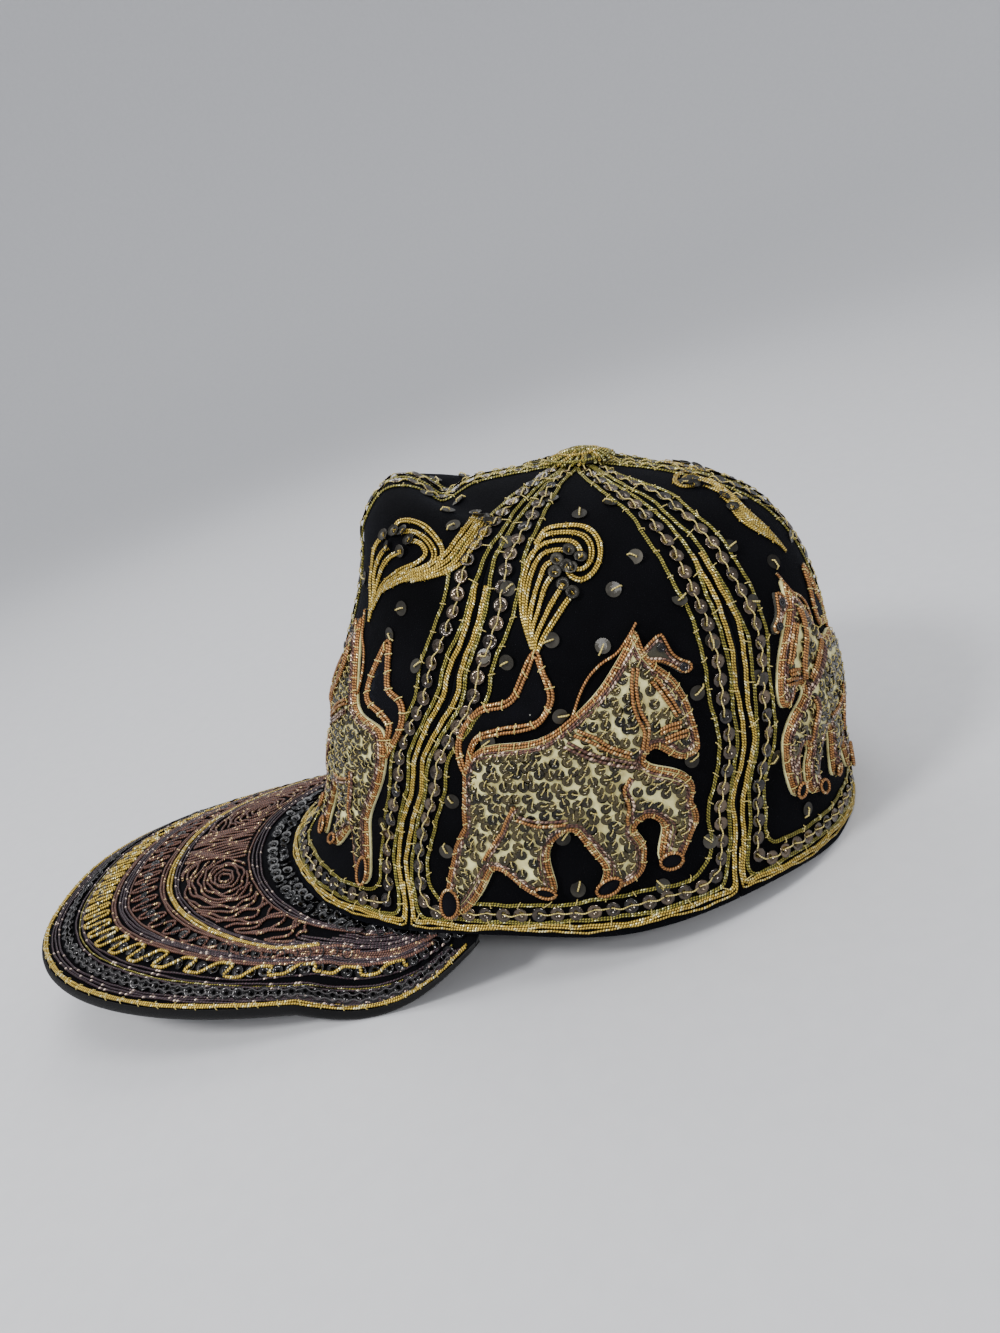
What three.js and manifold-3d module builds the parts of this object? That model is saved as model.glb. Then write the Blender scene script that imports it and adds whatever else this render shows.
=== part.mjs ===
// Six-panel velvet cap with a curved peak, padded horse appliques and couched seam bands.
// Millimetres, +Z up. The peak points to -Y and the wearer's left is +X.
// The crown is worked out in the cap's own frame, with the sewn rim in the plane z = 0, and
// the whole cap is then pitched back as it lies on a table, on its rear rim and its peak.

import * as THREE from 'three';
import { mergeVertices } from 'three/addons/utils/BufferGeometryUtils.js';
import { TessellateModifier } from 'three/addons/modifiers/TessellateModifier.js';
import Module from 'manifold-3d';

// Driving dimensions
const WALL = 2.0;              // velvet on stiffened cloth
const GAP = 0.3;               // between neighbouring sewn pieces
const PUFF = 1.0;              // how far a panel swells between its seams
const BUTTON_R = 10.5;         // bunched cords at the top
const BUTTON_H = 2.8;
const TRIM_LIFT = 0.55;        // underside of a trim above the velvet
const BAND_THICK = 1.1;        // couched cords and sequins over a seam
const RIM_BAND_LOW = 2.0;      // plain velvet edge below the rim band
const RIM_BAND_HIGH = 11.0;
const HORSE_THICK = 2.2;       // padding of a horse
const PLUME_THICK = 1.0;
const PANEL_TOP = 0.975;       // where the panels stop, under the button
const BAND_TOP = 0.935;         // where the seam bands stop, beside the button
const REST_FLAT = 1.2;         // how much the cloth gives where the rear rim rests
const FOOT_SHARE = 0.12;       // share of the wall that follows the rim's wave
const SWELL_LOW = 0.1;         // share of a panel's swell that it already has at the rim

// Meridians of the crown from the rim to the apex: down the centre front, over the widest
// part of the left side, and down the centre back.
const FRONT = [
  { y: -104.5, z: 0 },
  { y: -94.0, z: 9 },
  { y: -84.8, z: 22 },
  { y: -79.4, z: 40 },
  { y: -74.4, z: 57.5 },
  { y: -67.8, z: 74.5 },
  { y: -60.4, z: 91.5 },
  { y: -56.6, z: 105 },
  { y: -54.8, z: 114 },
  { y: -47.5, z: 123.2 },
  { y: -40.0, z: 124 },
  { y: -34.0, z: 120.8 },
  { y: -29.5, z: 116.8 },
  { y: -18.8, z: 120.6 },
  { y: -1.0, z: 121.7 },
  { y: 16.7, z: 122.2 },
];
const SIDE = [
  { x: 82.3, y: 0, z: 0 },
  { x: 79.4, y: -1.5, z: 14 },
  { x: 77.2, y: -1.7, z: 30 },
  { x: 75.4, y: -0.5, z: 48 },
  { x: 71.8, y: 0.4, z: 65.5 },
  { x: 66.4, y: 2.0, z: 81.4 },
  { x: 57.8, y: 4.4, z: 96.2 },
  { x: 46.0, y: 7.0, z: 107.8 },
  { x: 32.2, y: 10.3, z: 115.4 },
  { x: 17.0, y: 13.8, z: 120.3 },
  { x: 0, y: 16.7, z: 122.2 },
];
const BACK = [
  { y: 95.6, z: 0 },
  { y: 92.8, z: 14 },
  { y: 91.4, z: 30 },
  { y: 91.0, z: 46 },
  { y: 88.2, z: 62 },
  { y: 85.2, z: 78 },
  { y: 79.2, z: 92.6 },
  { y: 68.4, z: 104.8 },
  { y: 48.0, z: 114.4 },
  { y: 28.0, z: 119.6 },
  { y: 16.7, z: 122.2 },
];

// Seams in degrees round from the centre front, and half the width of a seam band in mm,
// by the share t of the way from the rim to the apex.
const SEAMS = [
  { t: 0.0, front: 60, back: 120.5, band: 10 },
  { t: 0.15, front: 54.5, back: 124, band: 10.5 },
  { t: 0.3, front: 58, back: 128, band: 11.2 },
  { t: 0.45, front: 65.5, back: 129.5, band: 12.6 },
  { t: 0.6, front: 71, back: 127.5, band: 12 },
  { t: 0.75, front: 71, back: 126, band: 9.6 },
  { t: 0.9, front: 70, back: 116, band: 5.3 },
  { t: 1.0, front: 66, back: 114, band: 3 },
];

// The rim isn't quite level: its height in mm, by degrees round from the centre front.
const RIM_WAVE = [
  { deg: 0, z: 1.5 },
  { deg: 45, z: -1.2 },
  { deg: 76, z: 1.6 },
  { deg: 100, z: -1.6 },
  { deg: 130, z: 0.9 },
  { deg: 152, z: -0.9 },
  { deg: 180, z: 0 },
];

// Peak: plan outline is a superellipse, with sides that curve back in to the rim
const PEAK_HALF_WIDTH = 76.5;
const PEAK_WIDEST_Y = -91.4;
const PEAK_REACH = 110;
const PEAK_POWER = 2.4;
const PEAK_SIDE_Z = -19.2;
const PEAK_TIP_Z = -17.7;
const PEAK_SIDE_DIP = 7.0;
const PEAK_CORNER_DEG = 73;
const PEAK_ARCH = 3.6;
const PEAK_TUCK = 2.6;         // how far the peak reaches in under the crown's wall
const PEAK_TOP_THICK = 1.8;
const PEAK_UNDER_THICK = 2.1;
const PEAK_THIN = 0.55;        // share of its depth that the peak loses at its corners
const PEAK_SIDE_SHARE = 0.3;   // share of the half outline that runs back to the corner
const PEAK_FLARE = 1.5;        // how far a corner stands out past the crown's rim
const PEAK_CLEAR = 0.4;        // between the peak and the crown's wall over it
const PEAK_SPREAD = 0.8;       // below 1, rows lie closer together towards the edge
const PEAK_CORD_R = 1.3;
const PEAK_CORD_END = 0.93;    // share of the way from the tip to a corner
const PEAK_CORD_CLEAR = 0.45;  // between the cord and the peak's upper face

// Profile of the button, as shares of its radius and height
const BUTTON = [
  { r: 0.92, h: 0 },
  { r: 1, h: 0.22 },
  { r: 0.86, h: 0.62 },
  { r: 0.5, h: 0.93 },
];
const BUTTON_CLEAR = 0.5;      // between the button and the crown's apex

// Outline of a horse, flat on its panel: across is towards its head, up is from the rim.
const HORSE = [
  { across: 14.5, up: 87.7 },
  { across: 18.2, up: 81.4 },
  { across: 23.6, up: 83.5 },
  { across: 27.3, up: 72.0 },
  { across: 34.3, up: 63.2 },
  { across: 39.0, up: 54.0 },
  { across: 40.2, up: 48.6 },
  { across: 33.2, up: 47.6 },
  { across: 25.2, up: 54.0 },
  { across: 21.5, up: 49.8 },
  { across: 35.4, up: 44.6 },
  { across: 41.6, up: 38.6 },
  { across: 39.2, up: 29.0 },
  { across: 34.8, up: 16.1 },
  { across: 27.3, up: 18.6 },
  { across: 29.0, up: 30.5 },
  { across: 26.5, up: 33.8 },
  { across: 20.9, up: 30.9 },
  { across: 25.0, up: 25.0 },
  { across: 24.1, up: 15.0 },
  { across: 9.2, up: 12.0 },
  { across: 13.4, up: 19.4 },
  { across: 9.6, up: 26.0 },
  { across: 4.4, up: 34.0 },
  { across: -1.6, up: 29.0 },
  { across: -0.4, up: 13.2 },
  { across: -8.6, up: 13.3 },
  { across: -17.7, up: 23.9 },
  { across: -22.5, up: 16.8 },
  { across: -30.6, up: 8.6 },
  { across: -37.0, up: 6.0 },
  { across: -39.8, up: 9.8 },
  { across: -33.4, up: 21.8 },
  { across: -30.5, up: 29.0 },
  { across: -36.2, up: 41.4 },
  { across: -37.4, up: 50.0 },
  { across: -34.8, up: 56.4 },
  { across: -30.0, up: 59.8 },
  { across: -8.0, up: 60.6 },
  { across: 1.6, up: 69.5 },
  { across: 10.5, up: 80.6 },
];

// Round notch in the rim band about the side horse's hind hoof, in the same coordinates
const HOOF = { across: -35.4, up: 12.1, radius: 7.8 };
const NOTCH_SIDES = 10;
const HOOF_NOTCH = Array.from({ length: NOTCH_SIDES }, (_, i) => {
  const angle = (i / NOTCH_SIDES) * 2 * Math.PI;
  return {
    across: HOOF.across + HOOF.radius * Math.cos(angle),
    up: HOOF.up + HOOF.radius * Math.sin(angle),
  };
});

// The plume above the side and back horses' tails, in the same coordinates.
const PLUME = [
  { across: -15.0, up: 85.6 },
  { across: -12.6, up: 91.0 },
  { across: 1.4, up: 102.0 },
  { across: 4.6, up: 111.0 },
  { across: 2.6, up: 118.6 },
  { across: -3.8, up: 122.2 },
  { across: -12.0, up: 121.4 },
  { across: -16.6, up: 112.0 },
  { across: -19.4, up: 98.3 },
  { across: -18.6, up: 90.0 },
];

// The front panels' plume is swept back towards the side, across still towards the head.
const SWEPT_PLUME = [
  { across: 3.8, up: 97.0 },
  { across: 4.8, up: 108.5 },
  { across: 9.4, up: 119.0 },
  { across: 8.4, up: 124.5 },
  { across: 0.5, up: 132.0 },
  { across: -6.4, up: 135.6 },
  { across: -18.0, up: 130.5 },
  { across: -21.4, up: 124.0 },
  { across: -15.5, up: 119.4 },
  { across: -3.0, up: 113.3 },
];

// How the horse and the plume are set on each kind of panel. face is 1 for a head towards
// the wearer's rear; wide and tall are scales; across and up move the result, in mm.
const MOTIFS = {
  front: {
    face: -1,
    horse: { wide: 0.66, tall: 1.06, across: 0.8, up: 5.8 },
    plume: { outline: SWEPT_PLUME, wide: 1.0, tall: 1.0, across: 0, up: 0 },
  },
  side: {
    face: 1,
    horse: { wide: 0.96, tall: 1.0, across: -0.6, up: 0 },
    plume: { outline: PLUME, wide: 1.0, tall: 1.0, across: 0, up: 0 },
  },
  back: {
    face: -1,
    horse: { wide: 0.6, tall: 0.91, across: 0.3, up: 6.6 },
    plume: { outline: PLUME, wide: 0.6, tall: 0.9, across: -8.0, up: 12.0 },
  },
};

// Mesh resolution
const PANEL_UP = 18;
const PANEL_ROUND = 7;
const BAND_ROUND = 4;
const RIM_ROUND = 34;
const PEAK_ROUND = 26;
const PEAK_OUT = 6;
const CORD_STEPS = 40;
const CORD_ARC_STEPS = 3;
const BUTTON_SIDES = 16;
const HORSE_EDGE = 16;         // longest edge of a triangle, in mm
const PLUME_EDGE = 8;
const MAX_SPLITS = 8;
const MERGE = 1e-3;
const LENGTH_STEPS = 60;
const ROW_CLEAR = 0.01;        // least share between two rows of a band
const MIN_RADIUS = 2;

const rad = THREE.MathUtils.degToRad;
const lerp = THREE.MathUtils.lerp;

const material = (color, roughness, metalness) =>
  new THREE.MeshStandardMaterial({ color, roughness, metalness });
const velvet = material(0x0b0c12, 0.95, 0.0);
const couching = material(0x8f8140, 0.5, 0.6);
const goldCord = material(0xd0aa5a, 0.4, 0.8);
const quilting = material(0xb9a77c, 0.6, 0.3);
const peakWork = material(0x5b4340, 0.6, 0.4);
const lining = material(0x08080a, 0.9, 0.0);

// Curve through a table's rows, smooth, with u from 0 to 1 by distance along it
function tableCurve(rows) {
  const keys = Object.keys(rows[0]);
  const points = rows.map((row) => keys.map((key) => row[key]));
  const at = [0];
  for (let i = 1; i < points.length; i += 1) {
    const step = points[i].map((value, k) => value - points[i - 1][k]);
    at.push(at[i - 1] + Math.hypot(...step));
  }
  const total = at[at.length - 1];
  const knots = at.map((d) => d / total);
  const slope = (a, b) =>
    points[b].map((value, k) => (value - points[a][k]) / (knots[b] - knots[a]));
  const last = points.length - 1;
  const slopes = points.map((_, i) => slope(Math.max(i - 1, 0), Math.min(i + 1, last)));
  return (u) => {
    let i = 0;
    while (i < last - 1 && knots[i + 1] <= u) i += 1;
    const h = knots[i + 1] - knots[i];
    const w = (u - knots[i]) / h;
    const w2 = w * w;
    const w3 = w2 * w;
    const out = {};
    keys.forEach((key, k) => {
      out[key] = (2 * w3 - 3 * w2 + 1) * points[i][k]
        + (w3 - 2 * w2 + w) * h * slopes[i][k]
        + (3 * w2 - 2 * w3) * points[i + 1][k]
        + (w3 - w2) * h * slopes[i + 1][k];
    });
    return out;
  };
}

// Value of one column of a table at a key, eased from row to row
function column(rows, keyName, name, key) {
  let i = 0;
  while (i < rows.length - 2 && rows[i + 1][keyName] <= key) i += 1;
  const w = (key - rows[i][keyName]) / (rows[i + 1][keyName] - rows[i][keyName]);
  return lerp(rows[i][name], rows[i + 1][name], w * w * (3 - 2 * w));
}

const frontCurve = tableCurve(FRONT);
const sideCurve = tableCurve(SIDE);
const backCurve = tableCurve(BACK);

const seamAngle = (name, t) => rad(column(SEAMS, 't', name, t));
const bandHalfWidth = (t) => column(SEAMS, 't', 'band', t);
const rimWave = (phi) => column(RIM_WAVE, 'deg', 'z', THREE.MathUtils.radToDeg(phi));

// Left half of the smooth crown, phi from the centre front (0) to the centre back (PI)
function bareCrown(phi, t) {
  const side = sideCurve(t);
  const c = Math.cos(phi);
  const end = c > 0 ? frontCurve(t) : backCurve(t);
  return new THREE.Vector3(
    side.x * Math.sin(phi),
    side.y + (end.y - side.y) * Math.abs(c),
    side.z + (end.z - side.z) * c * c,
  );
}

// How far the panel that holds phi swells there, as a share of PUFF
function swell(phi, t) {
  const a = seamAngle('front', t);
  const b = seamAngle('back', t);
  let low = 0;
  let high = a;
  if (phi > a) {
    low = a;
    high = b;
  }
  if (phi > b) {
    low = b;
    high = Math.PI;
  }
  const share = THREE.MathUtils.clamp((phi - low) / (high - low), 0, 1);
  const rise = Math.min(SWELL_LOW + (1 + SWELL_LOW) * t, 1);
  return Math.sin(share * Math.PI) * Math.sin(rise * Math.PI);
}

// Outward normal of the bare crown
function outwardAt(phi, t) {
  const e = 0.004;
  const around = bareCrown(phi + e, t).sub(bareCrown(phi - e, t));
  const up = bareCrown(phi, Math.min(t + e, 1)).sub(bareCrown(phi, t - e));
  return around.cross(up).normalize();
}

// Pitch of the resting cap: the floor touches the rear rim and the peak's lowest side
const REAR_Y = BACK[0].y;
const peakSideZ = (s) => PEAK_SIDE_Z * (1 - s * s) - PEAK_SIDE_DIP * Math.sin(Math.PI * s);
const peakSideY = (s) =>
  lerp(PEAK_WIDEST_Y, FRONT[0].y * Math.cos(rad(PEAK_CORNER_DEG)), s);
const underTaper = (s) => 1 - PEAK_THIN * s;
const PEAK_DEPTH = PEAK_TOP_THICK + GAP + PEAK_UNDER_THICK;
let floorSlope = 0;
for (let i = 0; i <= LENGTH_STEPS; i += 1) {
  const s = i / LENGTH_STEPS;
  const lowZ = peakSideZ(s) - PEAK_DEPTH * underTaper(s);
  floorSlope = Math.max(floorSlope, (REST_FLAT - lowZ) / (REAR_Y - peakSideY(s)));
}
const floorAt = (y) => REST_FLAT - floorSlope * (REAR_Y - y);
const PITCH = Math.atan(floorSlope);

// Point on the left half of the crown, out mm proud of the velvet
function crownPoint(phi, t, out) {
  const p = bareCrown(phi, t);
  const n = outwardAt(phi, t);
  p.addScaledVector(n, out + PUFF * swell(phi, t));
  if (t < FOOT_SHARE) p.z += rimWave(phi) * (1 - t / FOOT_SHARE) ** 2;
  // The rim is cut level through the wall
  if (t === 0) p.z = rimWave(phi);
  p.z = Math.max(p.z, floorAt(p.y));
  return p;
}

// Closed solid between two grids of points: outer(i, j) and inner(i, j)
function gridSolid(rows, cols, outer, inner) {
  const positions = [];
  const triangles = [];
  const index = (side, i, j) => side * (rows + 1) * (cols + 1) + i * (cols + 1) + j;
  for (const point of [outer, inner]) {
    for (let i = 0; i <= rows; i += 1) {
      for (let j = 0; j <= cols; j += 1) {
        positions.push(...point(i, j).toArray());
      }
    }
  }
  const quad = (a, b, c, d) => triangles.push(a, b, c, a, c, d);
  for (let i = 0; i < rows; i += 1) {
    for (let j = 0; j < cols; j += 1) {
      quad(index(0, i, j), index(0, i, j + 1), index(0, i + 1, j + 1), index(0, i + 1, j));
      quad(index(1, i, j), index(1, i + 1, j), index(1, i + 1, j + 1), index(1, i, j + 1));
    }
  }
  for (let j = 0; j < cols; j += 1) {
    quad(index(1, 0, j), index(1, 0, j + 1), index(0, 0, j + 1), index(0, 0, j));
    quad(index(0, rows, j), index(0, rows, j + 1), index(1, rows, j + 1), index(1, rows, j));
  }
  for (let i = 0; i < rows; i += 1) {
    quad(index(0, i, 0), index(0, i + 1, 0), index(1, i + 1, 0), index(1, i, 0));
    quad(index(1, i, cols), index(1, i + 1, cols), index(0, i + 1, cols), index(0, i, cols));
  }
  const geometry = new THREE.BufferGeometry();
  geometry.setAttribute('position', new THREE.Float32BufferAttribute(positions, 3));
  geometry.setIndex(triangles);
  return geometry;
}

// The same piece on the wearer's right
function mirrored(geometry) {
  const copy = geometry.clone();
  const position = copy.getAttribute('position');
  for (let i = 0; i < position.count; i += 1) position.setX(i, -position.getX(i));
  const order = copy.getIndex();
  for (let i = 0; i < order.count; i += 3) {
    const first = order.getX(i);
    order.setX(i, order.getX(i + 1));
    order.setX(i + 1, first);
  }
  return copy;
}

// Angle that lies side mm away from phi along the crown at t
function besides(phi, t, side) {
  const e = 0.01;
  const radius = bareCrown(phi + e, t).distanceTo(bareCrown(phi - e, t)) / (2 * e);
  return phi + side / Math.max(radius, MIN_RADIUS);
}

const PANELS = {
  front: (t) => [0, seamAngle('front', t)],
  side: (t) => [seamAngle('front', t), seamAngle('back', t)],
  back: (t) => [seamAngle('back', t), Math.PI],
};

// Rows that the panels and the bands over them share, so that their facets lie parallel
const ROWS = Array.from({ length: PANEL_UP + 1 }, (_, i) => (i / PANEL_UP) * PANEL_TOP);

// Each crown panel runs from seam to seam and from the rim to under the button
function panelSolid(name) {
  const at = (i, j, out) => {
    const t = ROWS[i];
    const [from, to] = PANELS[name](t);
    const low = besides(from, t, GAP / 2);
    const high = besides(to, t, -GAP / 2);
    return crownPoint(lerp(low, high, j / PANEL_ROUND), t, out);
  };
  return gridSolid(PANEL_UP, PANEL_ROUND, (i, j) => at(i, j, 0), (i, j) => at(i, j, -WALL));
}

// Share of the way up the meridian at phi that lies up mm above the rim
function shareAt(phi, up) {
  let length = 0;
  let last = bareCrown(phi, 0);
  for (let i = 1; i <= LENGTH_STEPS; i += 1) {
    const next = bareCrown(phi, i / LENGTH_STEPS);
    length += next.distanceTo(last);
    last = next;
  }
  return up / length;
}

// Raised band of couched cords over a seam, which on a centre seam spans both halves
function bandSolid(seam) {
  const middle = (t) => {
    if (seam === 'centre_front') return 0;
    if (seam === 'centre_back') return Math.PI;
    return seamAngle(seam, t);
  };
  const start = shareAt(middle(0), RIM_BAND_HIGH + GAP);
  const between = ROWS.filter((t) => t > start + ROW_CLEAR && t < BAND_TOP - ROW_CLEAR);
  const rows = [start, ...between, BAND_TOP];
  const at = (i, j, out) => {
    const t = rows[i];
    const side = lerp(-1, 1, j / BAND_ROUND) * bandHalfWidth(t);
    const phi = besides(middle(t), t, side);
    const flip = phi < 0 || phi > Math.PI;
    const folded = phi > Math.PI ? 2 * Math.PI - phi : Math.abs(phi);
    const p = crownPoint(folded, t, out);
    if (flip) p.x = -p.x;
    return p;
  };
  const lift = TRIM_LIFT + BAND_THICK;
  return gridSolid(
    rows.length - 1,
    BAND_ROUND,
    (i, j) => at(i, j, lift),
    (i, j) => at(i, j, TRIM_LIFT),
  );
}

// Half of the band round the rim
function rimBandSolid() {
  const rows = 2;
  const at = (i, j, out) => {
    const phi = lerp(0, Math.PI, j / RIM_ROUND);
    const frontGap = j === 0 ? GAP / 2 : 0;
    const backGap = j === RIM_ROUND ? GAP / 2 : 0;
    const up = lerp(RIM_BAND_LOW, RIM_BAND_HIGH, i / rows);
    const t = shareAt(phi, up);
    return crownPoint(besides(phi, t, frontGap - backGap), t, out);
  };
  const lift = TRIM_LIFT + BAND_THICK;
  return gridSolid(rows, RIM_ROUND, (i, j) => at(i, j, lift), (i, j) => at(i, j, TRIM_LIFT));
}

// Maps flat coordinates on a panel, across and up in mm, to the crown
function onPanel(name, across, up, out) {
  const middleAt = (t) => {
    const [from, to] = PANELS[name](t);
    return (from + to) / 2;
  };
  const t = shareAt(middleAt(0), up);
  return crownPoint(besides(middleAt(t), t, across), t, out);
}

// A flat outline on a panel is thickened from low to high mm off the velvet, split finely
// and laid on the crown
function motifSolid(name, outline, place, low, high, maxEdge) {
  const { face } = MOTIFS[name];
  const flat = outline.map((row) => new THREE.Vector2(
    face * row.across * place.wide + place.across,
    row.up * place.tall + place.up,
  ));
  const plate = new THREE.ExtrudeGeometry(new THREE.Shape(flat), {
    depth: 1,
    bevelEnabled: false,
  });
  plate.deleteAttribute('uv');
  plate.deleteAttribute('normal');
  const split = new TessellateModifier(maxEdge, MAX_SPLITS).modify(plate);
  const position = split.getAttribute('position');
  for (let i = 0; i < position.count; i += 1) {
    const out = lerp(low, high, position.getZ(i));
    const p = onPanel(name, position.getX(i), position.getY(i), out);
    position.setXYZ(i, p.x, p.y, p.z);
  }
  return mergeVertices(split, MERGE);
}

const wasm = await Module();
wasm.setup();

function toManifold(geometry) {
  const mesh = new wasm.Mesh({
    numProp: 3,
    vertProperties: new Float32Array(geometry.getAttribute('position').array),
    triVerts: new Uint32Array(geometry.getIndex().array),
  });
  return new wasm.Manifold(mesh);
}

function fromManifold(solid) {
  const mesh = solid.getMesh();
  const geometry = new THREE.BufferGeometry();
  geometry.setAttribute('position', new THREE.Float32BufferAttribute(mesh.vertProperties, 3));
  geometry.setIndex(new THREE.Uint32BufferAttribute(mesh.triVerts, 1));
  return geometry;
}

// The bunch of couched cords where the six seams meet
function buttonSolid() {
  const profile = [
    new THREE.Vector2(0, 0),
    ...BUTTON.map((row) => new THREE.Vector2(BUTTON_R * row.r, BUTTON_H * row.h)),
    new THREE.Vector2(0, BUTTON_H),
  ];
  const geometry = new THREE.LatheGeometry(profile, BUTTON_SIDES);
  geometry.deleteAttribute('uv');
  geometry.deleteAttribute('normal');
  geometry.rotateX(Math.PI / 2);
  return mergeVertices(geometry, MERGE);
}

// Edge of the peak, by its share s from one corner (-1) round the tip (0) to the other (1)
function peakEdge(s, inset) {
  const share = Math.abs(s);
  const half = PEAK_HALF_WIDTH - inset;
  const p = new THREE.Vector3();
  if (share <= 1 - PEAK_SIDE_SHARE) {
    const angle = (share / (1 - PEAK_SIDE_SHARE)) * (Math.PI / 2);
    const e = 2 / PEAK_POWER;
    p.x = half * Math.sin(angle) ** e;
    p.y = PEAK_WIDEST_Y - (PEAK_REACH - inset) * Math.max(Math.cos(angle), 0) ** e;
    p.z = lerp(PEAK_TIP_Z, PEAK_SIDE_Z, Math.sin(angle) ** 2);
  } else {
    const back = (share - (1 - PEAK_SIDE_SHARE)) / PEAK_SIDE_SHARE;
    const cornerX = SIDE[0].x * Math.sin(rad(PEAK_CORNER_DEG));
    p.x = lerp(half, cornerX + PEAK_FLARE, back * back);
    p.y = peakSideY(back);
    p.z = peakSideZ(back);
  }
  p.x *= Math.sign(s);
  return p;
}

// Where the peak is sewn under the crown's wall
function peakRoot(s) {
  const phi = rad(PEAK_CORNER_DEG) * Math.abs(s);
  const p = bareCrown(phi, 0);
  const inward = new THREE.Vector3(p.x / SIDE[0].x ** 2, p.y / FRONT[0].y ** 2, 0).normalize();
  p.addScaledVector(inward, -PEAK_TUCK);
  p.z = rimWave(phi) - PEAK_CLEAR;
  p.x *= Math.sign(s);
  return p;
}

// Share of the peak's depth that is left at s
const underDepth = (s) => {
  const back = Math.max(0, (Math.abs(s) - (1 - PEAK_SIDE_SHARE)) / PEAK_SIDE_SHARE);
  return underTaper(back);
};

// Point of the peak's upper face: out is 0 at the crown and 1 at the edge
function peakPoint(s, out, depth) {
  const a = peakRoot(s);
  const b = peakEdge(s, 0);
  const p = a.lerp(b, out);
  p.z += PEAK_ARCH * Math.sin(Math.PI * out) * (1 - s * s);
  p.z -= depth * lerp(1, underDepth(s), out);
  return p;
}

// One layer of the peak, between two depths below its upper face
function peakLayer(top, bottom) {
  const outs = (j) => (j / PEAK_OUT) ** PEAK_SPREAD;
  const at = (i, j, depth) => peakPoint(lerp(-1, 1, i / PEAK_ROUND), outs(j), depth);
  return gridSolid(PEAK_ROUND, PEAK_OUT, (i, j) => at(i, j, top), (i, j) => at(i, j, bottom));
}

// Pair of gold cords along the peak's upper edge, as one round cord
function peakCordSolid() {
  const e = 0.01;
  const points = [];
  for (let i = 0; i <= CORD_STEPS; i += 1) {
    const s = lerp(-PEAK_CORD_END, PEAK_CORD_END, i / CORD_STEPS);
    const width = peakRoot(s).distanceTo(peakEdge(s, 0));
    const out = 1 - PEAK_CORD_R / width;
    const p = peakPoint(s, out, 0);
    const along = peakPoint(s + e, out, 0).sub(peakPoint(s - e, out, 0));
    const outward = peakPoint(s, 1, 0).sub(peakPoint(s, out - e, 0));
    const normal = outward.cross(along).normalize();
    p.addScaledVector(normal, PEAK_CORD_R + PEAK_CORD_CLEAR);
    points.push(p);
  }
  const path = new THREE.CatmullRomCurve3(points);
  const section = new THREE.Shape();
  section.absarc(0, 0, PEAK_CORD_R, 0, Math.PI * 2);
  const geometry = new THREE.ExtrudeGeometry(section, {
    extrudePath: path,
    steps: CORD_STEPS,
    curveSegments: CORD_ARC_STEPS,
    bevelEnabled: false,
  });
  geometry.deleteAttribute('uv');
  geometry.deleteAttribute('normal');
  return mergeVertices(geometry, MERGE);
}

const cap = new THREE.Group();
const add = (name, geometry, surface) => {
  const mesh = new THREE.Mesh(geometry, surface);
  mesh.name = name;
  cap.add(mesh);
  return mesh;
};

// The rim band bends round the hind hoof of the side horse, which reaches down to it
const notch = motifSolid('side', HOOF_NOTCH, MOTIFS.side.horse, -WALL, 2 * HORSE_THICK, HORSE_EDGE);
const rimBandLeft = fromManifold(toManifold(rimBandSolid()).subtract(toManifold(notch)));
add('rim_band_left', rimBandLeft, couching);
add('rim_band_right', mirrored(rimBandLeft), couching);

for (const name of Object.keys(PANELS)) {
  const panel = panelSolid(name);
  add(`panel_${name}_left`, panel, velvet);
  add(`panel_${name}_right`, mirrored(panel), velvet);

  const horseTop = TRIM_LIFT + HORSE_THICK;
  const horse = motifSolid(name, HORSE, MOTIFS[name].horse, TRIM_LIFT, horseTop, HORSE_EDGE);
  add(`horse_${name}_left`, horse, quilting);
  add(`horse_${name}_right`, mirrored(horse), quilting);

  const plumeTop = TRIM_LIFT + PLUME_THICK;
  const { plume: place } = MOTIFS[name];
  const plume = motifSolid(name, place.outline, place, TRIM_LIFT, plumeTop, PLUME_EDGE);
  add(`plume_${name}_left`, plume, goldCord);
  add(`plume_${name}_right`, mirrored(plume), goldCord);
}

add('seam_front', bandSolid('centre_front'), couching);
add('seam_back', bandSolid('centre_back'), couching);
for (const name of ['front', 'back']) {
  const band = bandSolid(name);
  add(`seam_${name}_left`, band, couching);
  add(`seam_${name}_right`, mirrored(band), couching);
}

const apex = bareCrown(0, 1);
const button = add('crown_button', buttonSolid(), couching);
button.position.set(apex.x, apex.y, apex.z + BUTTON_CLEAR);

add('peak_top', peakLayer(0, PEAK_TOP_THICK), peakWork);
add('peak_underside', peakLayer(PEAK_TOP_THICK + GAP, PEAK_DEPTH), lining);
add('peak_edge_cord', peakCordSolid(), goldCord);

// Pitched back on the table, with the origin under the middle of the cap
cap.rotation.x = -PITCH;
cap.updateMatrixWorld(true);
const bounds = new THREE.Box3().setFromObject(cap, true);
cap.position.set(0, -(bounds.min.y + bounds.max.y) / 2, -bounds.min.z);

const group = new THREE.Group();
group.add(cap);

export default group;
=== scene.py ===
import bpy
import numpy as np
from mathutils import Matrix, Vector
from mathutils.geometry import delaunay_2d_cdt


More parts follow.
